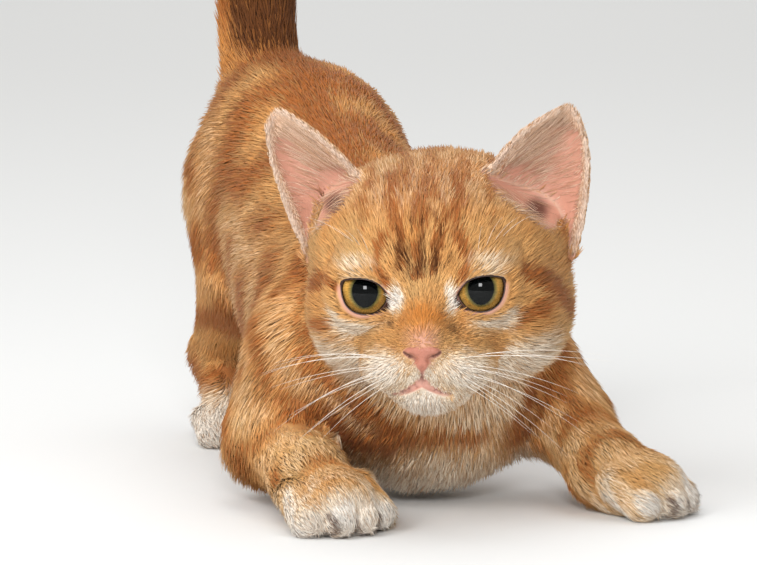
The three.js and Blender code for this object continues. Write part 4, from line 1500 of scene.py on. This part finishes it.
coatSetup = {"seed": 7, "softness": 0.3, "floorGap": 0.0002}
tufts = coatTree()
sockets = {s.name: s.identifier for s in tufts.interface.items_tree if s.in_out == "INPUT"}
coatPieces = []
total = 0
for number, regionName in enumerate(regionNames):
    source = newObject("coatSource", skinMesh)
    grow = source.modifiers.new("coat", "NODES")
    grow.node_group = tufts
    given = {"Tuft": tuft, "Coat": furMaterial, "Region": number, "Seed": coatSetup["seed"] + number * 101}
    for name, value in given.items():
        grow[sockets[name]] = value
    made = meshOf(source)
    bpy.data.objects.remove(source)
    rootNormals = fieldOf(made.attributes["rootNormal"].data, "vector", 3)
    co = placesOf(made)
    co[:, 2] = np.maximum(co[:, 2], coatSetup["floorGap"])
    setPlaces(made, co)
    soft = coatSetup["softness"]
    soft = unit(normalsOf(made) * (1 - soft) + rootNormals * soft)
    clear(made, ("rootNormal", "rootPlace", "across", "region", "coarse", "id"))
    made.normals_split_custom_set_from_vertices(soft.tolist())
    coatPieces.append(newObject("coat_" + regionName, made))
    total += len(made.polygons)
    print("coat", regionName, len(made.polygons), "triangles")
print("coat in all:", total, "triangles")
bpy.data.objects.remove(tuft)
clear(skinMesh, ("lie", "tuftLength", "tuftWidth", "tuftLift", "tuftDensity", "region", "coarse"))


# Eyes
def lathe(rings, columns):
    faces = []
    for i in range(0, (len(rings) - 1) * columns, columns):
        for j in range(columns):
            k = (j + 1) % columns
            faces.append((i + j, i + k, i + columns + k, i + columns + j))
    return np.array(rings).reshape(-1, 3), faces


def circle(r, out, turns):
    return [(r * math.cos(t), r * math.sin(t), out) for t in turns]


def inHead(name, places, faces, turnOut=True):
    mesh = bpy.data.meshes.new(name)
    mesh.from_pydata([tuple(c) for c in toRow(onHead(np.array(places)))], [], faces)
    mesh.polygons.foreach_set("use_smooth", [True] * len(mesh.polygons))
    if turnOut:
        shell = opened(mesh)
        facedOut(shell)
        closed(shell, mesh)
    return mesh


def onFace(v):
    return v[:, :1] * faceRight + v[:, 1:2] * faceUp + v[:, 2:] * faceOut


def eyeMesh(side):
    columns, ballRings, irisRings = 72, 22, 13
    turns = [2 * math.pi * k / columns for k in range(columns)]
    ball, iris = eyeShape["ball"], eyeShape["iris"]
    rings, kinds = [], []
    for theta in np.linspace(math.pi - 0.02, math.asin(iris / ball), ballRings):
        rings.append(circle(ball * math.sin(theta), ball * math.cos(theta), turns))
        kinds.append((0.0, 0.0))
    wide, high = eyeShape["pupil"]
    outer = eyeShape["irisDepth"]
    for k in range(irisRings):
        s = k / (irisRings - 1)
        ring = []
        for t in turns:
            c, d = math.cos(t), math.sin(t)
            rim = (iris + 0.05) * (1 - s)
            edge = (wide * c * (1 - 0.08 * d * d), high * d)
            ring.append((rim * c + edge[0] * s, rim * d + edge[1] * s, outer + 0.55 * math.sin(s * 2.2)))
        rings.append(ring)
        kinds.append((1.0, s))
    for s in (0.985, 0.8, 0.5, 0.2, 0.02):
        rings.append([(x * s, y * s, out - 0.04) for x, y, out in rings[ballRings + irisRings - 1]])
        kinds.append((2.0, 1.0))
    v, faces = lathe(rings, columns)
    faces += [tuple(range(columns)), tuple(range(len(v) - 1, len(v) - columns - 1, -1))]
    mesh = inHead("eyeball_" + side, eyeMiddle(side) + onFace(v), faces)
    pupilRow = [k[0] for k in kinds].index(2.0) - 1
    number, backFace = np.arange(len(faces)), len(faces) - 2
    inPupil = (number // columns >= pupilRow) & (number != backFace)
    mesh.materials.append(eyeMaterial)
    mesh.materials.append(pupilMaterial)
    mesh.polygons.foreach_set("material_index", inPupil.astype(np.int32))
    store(mesh, "eyePart", "FLOAT", np.repeat([k[0] for k in kinds], columns))
    store(mesh, "irisShare", "FLOAT", np.repeat([k[1] for k in kinds], columns))
    dome = np.sqrt(np.maximum(eyeShape["cornea"] ** 2 - v[:, 0] ** 2 - v[:, 1] ** 2, 0.1))
    overIris = np.array([k[0] > 0.5 for k in kinds]).repeat(columns)[:, None]
    slope = unit(np.where(overIris, np.stack([v[:, 0], v[:, 1], dome], 1), v))
    store(mesh, "wetSlope", "FLOAT_VECTOR", onFace(slope) @ headTurn.T)
    corner = smooth(6.6, 8.0, v[:, 0] * eyeSigns[side]) * smooth(-1.0, -3.0, v[:, 1])
    store(mesh, "corner", "FLOAT", corner)
    store(mesh, "irisTurn", "FLOAT_VECTOR", [(math.cos(t), math.sin(t), 0) for t in turns] * len(rings))
    return mesh


irisLook = {
    "edge": (0.06, 0.06, 0.02, 1),
    "olive": (0.25, 0.19, 0.045, 1),
    "amber": (0.66, 0.34, 0.06, 1),
    "gold": (0.74, 0.42, 0.11, 1),
    "line": (0.03, 0.012, 0.006, 1),
    "white": (0.07, 0.035, 0.025, 1),
    "corner": (0.55, 0.24, 0.19, 1),
    "pupil": (0.001, 0.0012, 0.0012, 1),
    "deep": (0.003, 0.004, 0.004, 1),
}
wetLayer = {"Coat Weight": 1.0, "Coat Roughness": 0.03, "Coat IOR": 1.3}


def wetted(n, shader, sockets):
    n.dress(shader, {**sockets, **wetLayer, "Coat Normal": attributeOf(n, "wetSlope", "Vector")})


eyeMaterial, n, shader = newMaterial("irisAndBall")
share, turn = attributeOf(n, "irisShare"), attributeOf(n, "irisTurn", "Vector")
ramp = n.add("ShaderNodeValToRGB", {0: share})
stops = [(0.0, "line"), (0.06, "line"), (0.14, "gold"), (0.55, "amber"), (0.82, "olive"), (0.97, "edge")]
while len(ramp.color_ramp.elements) < len(stops):
    ramp.color_ramp.elements.new(0.5)
for element, (at, name) in zip(ramp.color_ramp.elements, stops):
    element.position = at
    element.color = irisLook[name]
fibreAt = n.vector("ADD", {0: turn, 1: n.joined(z=n.math("MULTIPLY", share, 0.16))})
fibres = n.ranged(n.noise(fibreAt, 22.0, 6.0), (0.3, 0.7), (0.62, 1.3))
iris = n.vector("SCALE", {0: ramp.outputs[0], 3: fibres})
ball = n.math("LESS_THAN", attributeOf(n, "eyePart"), 0.5)
colour = n.mix(ball, iris, n.mix(attributeOf(n, "corner"), irisLook["white"], irisLook["corner"]))
n.dress(shader, {"Base Color": colour, "Normal": n.bump(fibres, 0.3, 0.0003)})
wetted(n, shader, {"Roughness": 0.5, "Specular IOR Level": 0.1})
pupilMaterial, n, shader = newMaterial("pupilDark")
colour = n.mix(n.noise(n.place(), 300.0), irisLook["pupil"], irisLook["deep"])
wetted(n, shader, {"Base Color": colour, "Roughness": 0.9, "Specular IOR Level": 0.0})


def corneaMesh(side):
    columns, rings, dome = 64, [], eyeShape["cornea"]
    turns = [2 * math.pi * k / columns for k in range(columns)]
    for theta in np.linspace(math.asin((eyeShape["iris"] + 0.15) / dome), 0.01, 18):
        out = dome * math.cos(theta) - corneaDrop + limbusDepth
        rings.append(circle(dome * math.sin(theta), out, turns))
    v, faces = lathe(rings, columns)
    faces.append(tuple(range(len(v) - 1, len(v) - columns - 1, -1)))
    return inHead("cornea_" + side, eyeMiddle(side) + onFace(v), faces, turnOut=False)


corneaMaterial, n, shader = newMaterial("wetCornea", "ShaderNodeMixShader")
glass = n.add("ShaderNodeBsdfTransparent").outputs[0]
gloss = n.add("ShaderNodeBsdfGlossy", {"Roughness": 0.03}).outputs[0]
share = n.ranged(n.add("ShaderNodeFresnel", {"IOR": 1.38}).outputs[0], (0.06, 1.0), (0.0, 1.0))
n.dress(shader, {0: share, 1: glass, 2: gloss})


# Lid rims: a soft ring along the opening, dark towards the eye and pink outside, and dark along the upper
# lid: partly its own dark rim, partly painted shade under the upper lid's fur
rimShape = {"width": 0.42, "height": 0.34, "sides": 8}


def rimMesh(side):
    line = closedCurve(eyeShape["opening"], 110)
    ahead = unit(np.roll(line, -1, 0) - np.roll(line, 1, 0))
    outward = np.stack([ahead[:, 1], -ahead[:, 0]], 1)
    if np.sum(outward * line) < 0:
        outward = -outward
    verts, faces, inside = [], [], []
    middle, sign, sides = eyeMiddle(side), eyeSigns[side], rimShape["sides"]
    for spot, away in zip(line, outward):
        for k in range(sides):
            turn = 2 * math.pi * k / sides
            uv = spot + away * (rimShape["width"] * math.cos(turn) + 0.12)
            out = eyeDepth(uv[None])[0] + 0.12 + rimShape["height"] * (math.sin(turn) + 0.55)
            verts.append(middle + uv[0] * sign * faceRight + uv[1] * faceUp + out * faceOut)
            # dark all along the upper rim: partly its own dark rim, partly painted shade under the upper
            # lid's fur
            inside.append(max(0.5 - 0.5 * math.cos(turn), 0.95 * float(smooth(0.5, 3.0, uv[1]))))
    count = len(line)
    for i in range(count):
        for k in range(sides):
            a, b = (i + 1) % count, (k + 1) % sides
            faces.append((i * sides + k, i * sides + b, a * sides + b, a * sides + k))
    mesh = inHead("lidRim_" + side, verts, faces)
    store(mesh, "inside", "FLOAT", inside)
    return mesh


rimLook = {
    "pink": (0.62, 0.36, 0.28, 1),
    "mottled": (0.36, 0.17, 0.12, 1),
    "edge": (0.03, 0.012, 0.009, 1),
}
rimMaterial, n, shader = newMaterial("lidRims")
mottle = n.noise(n.place(), 900.0, 3.0)
edge = n.ranged(attributeOf(n, "inside"), (0.3, 0.75), (0.0, 1.0))
colour = n.mix(n.math("MULTIPLY", mottle, 0.5), rimLook["pink"], rimLook["mottled"])
colour = n.mix(edge, colour, rimLook["edge"])
n.dress(shader, {"Base Color": colour, "Normal": n.bump(mottle, 0.2, 0.0002), "Roughness": 0.3})

eyePieces = []
for side in ("right", "left"):
    for name, maker, material in (
        ("eyeball", eyeMesh, None),  # its two materials are on it already
        ("cornea", corneaMesh, corneaMaterial),
        ("lidRim", rimMesh, rimMaterial),
    ):
        piece = newObject(name + "_" + side, maker(side))
        if material:
            piece.data.materials.append(material)
        eyePieces.append(piece)
print("eyes made")

# Whiskers: long tapered hairs from the pads, and a few over the eyes
whiskers = {"sides": 5, "steps": 12, "radius": 0.08, "perSide": 13, "seed": 21}
whiskerSkin = BVHTree.FromPolygons([Vector(c) for c in q], [tuple(f.vertices) for f in skinMesh.polygons])


def onSkin(x, z):
    return np.array(whiskerSkin.ray_cast(Vector((x, -60, z)), Vector((0, 1, 0)))[0])


# Root, direction, length, droop and thickness
def whiskerRows():
    rng = np.random.default_rng(whiskers["seed"])
    for sign in (-1, 1):
        for k in range(whiskers["perSide"]):
            row, column = k % 4, k // 4
            fan = rng.uniform(-0.12, 0.12)
            way = unit(np.array([sign * 1.0, -0.12 + 0.16 * column, 0.1 - 0.22 * row + fan]))
            root = onSkin(sign * (10.5 + 2.3 * column), -13.5 - 2.5 * row)
            yield root, way, rng.uniform(34, 48) - 3 * row, rng.uniform(0.12, 0.3), 1.0
        for k in range(4):
            way = unit(np.array([sign * (0.15 + 0.2 * k), -0.55, 0.9]))
            yield onSkin(sign * (17 + 2.2 * k), 17.5 + 0.8 * k), way, rng.uniform(15, 23), 0.25, 0.6


def whiskerMesh():
    verts, faces = [], []
    sides, steps = whiskers["sides"], whiskers["steps"]
    for root, way, long, droop, thick in whiskerRows():
        start = len(verts)
        across = unit(np.cross(way, [0, 0, 1.0]))
        up = np.cross(across, way)
        for i in range(steps + 1):
            t = i / steps
            place = root + way * long * (t - 0.03) + np.array([0, 0.35, -1.0]) * droop * long * t * t
            r = whiskers["radius"] * thick * (1 - t) ** 0.8 + 0.012
            for k in range(sides):
                turn = 2 * math.pi * k / sides
                verts.append(place + (across * math.cos(turn) + up * math.sin(turn)) * r)
        for i in range(steps):
            for k in range(sides):
                a, b = start + i * sides, start + (i + 1) * sides
                faces.append((a + k, a + (k + 1) % sides, b + (k + 1) % sides, b + k))
        faces.append(tuple(range(start + sides - 1, start - 1, -1)))
        faces.append(tuple(range(start + steps * sides, start + (steps + 1) * sides)))
    return inHead("whiskers", verts, faces)


whiskerLook = {"tip": (0.95, 0.9, 0.84, 1), "root": (0.8, 0.72, 0.62, 1)}
whiskerMaterial, n, shader = newMaterial("whiskerHair")
colour = n.mix(n.noise(n.place(), 160.0), whiskerLook["tip"], whiskerLook["root"])
n.dress(shader, {"Base Color": colour, "Roughness": 0.35})
whiskerPiece = newObject("whiskers", whiskerMesh())
whiskerPiece.data.materials.append(whiskerMaterial)
print("whiskers made")

# Everything rides on the one body; the skin stands for the flesh, the eyes for their balls
for piece in [skin, whiskerPiece] + coatPieces + eyePieces:
    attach(piece, "root")
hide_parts(*fleshNodes)
for side in ("right", "left"):
    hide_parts("eye_" + side)

# Studio: pale floor, a square softbox near the camera, broad lights above, beside and behind
studio = {
    "floor": (0.84, 0.85, 0.85, 1),
    "floorGrain": (0.6, 0.6, 0.6, 1),
    "air": (1.0, 0.98, 0.95, 1),
    "world": 0.45,
    "key": 10.5,
    "side": 17.0,
    "top": 17.0,
    "back": 26.0,
}
floorMesh = bpy.data.meshes.new("floor")
floorMesh.from_pydata([(-9, -4, 0), (9, -4, 0), (9, 14, 0), (-9, 14, 0)], [], [(0, 1, 2, 3)])
floor = newObject("floor", floorMesh)
floorMaterial, n, shader = newMaterial("paleFloor")
grain = n.math("MULTIPLY", n.noise(n.place(), 300.0, 3.0), 0.06)
n.dress(shader, {"Base Color": n.mix(grain, studio["floor"], studio["floorGrain"]), "Roughness": 0.8})
floorMesh.materials.append(floorMaterial)


def areaLight(name, place, aim, size, power):
    light = bpy.data.lights.new(name, "AREA")
    light.shape = "SQUARE"
    light.size = size
    light.energy = power
    obj = newObject(name, light)
    obj.location = place
    obj.rotation_euler = (Vector(aim) - Vector(place)).to_track_quat("-Z", "Y").to_euler()
    return obj


target = Vector(toRow(onHead((0, -30, 0))))
toCamera = (Vector(cameraSetup["place"]) - target).normalized()
keyWays = [Matrix.Rotation(math.radians(turn), 3, Vector(viewRight)) @ toCamera for turn in (-16, 16)]
keyWay = max(keyWays, key=lambda way: way.z)  # from above the camera
areaLight("keySoftbox", target + keyWay * 1.5, target, 0.35, studio["key"])
topLight = areaLight("topLight", (0.2, 0.2, 2.1), (0, 0, 0.1), 2.0, studio["top"])
areaLight("backdropLight", (1.0, 3.2, 2.3), (0.9, 2.8, 0), 2.4, studio["back"])
sideWay = Matrix.Rotation(math.radians(-48), 3, "Z") @ toCamera + Vector((0, 0, 0.55))
sideLight = areaLight("sideSoftbox", target + sideWay.normalized() * 1.6, target, 1.1, studio["side"])
sideLight.visible_glossy = topLight.visible_glossy = False  # else the pupils turn grey
world = bpy.data.worlds.new("studioAir")
world.use_nodes = True
world.node_tree.nodes["Background"].inputs[0].default_value = studio["air"]
world.node_tree.nodes["Background"].inputs[1].default_value = studio["world"]
bpy.context.scene.world = world
bpy.context.scene.view_settings.view_transform = "Standard"

camera = bpy.data.cameras.new("camera")
camera.lens = cameraSetup["lens"]
camera.sensor_width = 36
camera.clip_start, camera.clip_end = 0.05, 40
cameraObject = newObject("camera", camera)
cameraObject.location = cameraSetup["place"]
cameraObject.rotation_euler = (math.radians(90 - cameraSetup["tilt"]), 0, -pan)
bpy.context.scene.camera = cameraObject
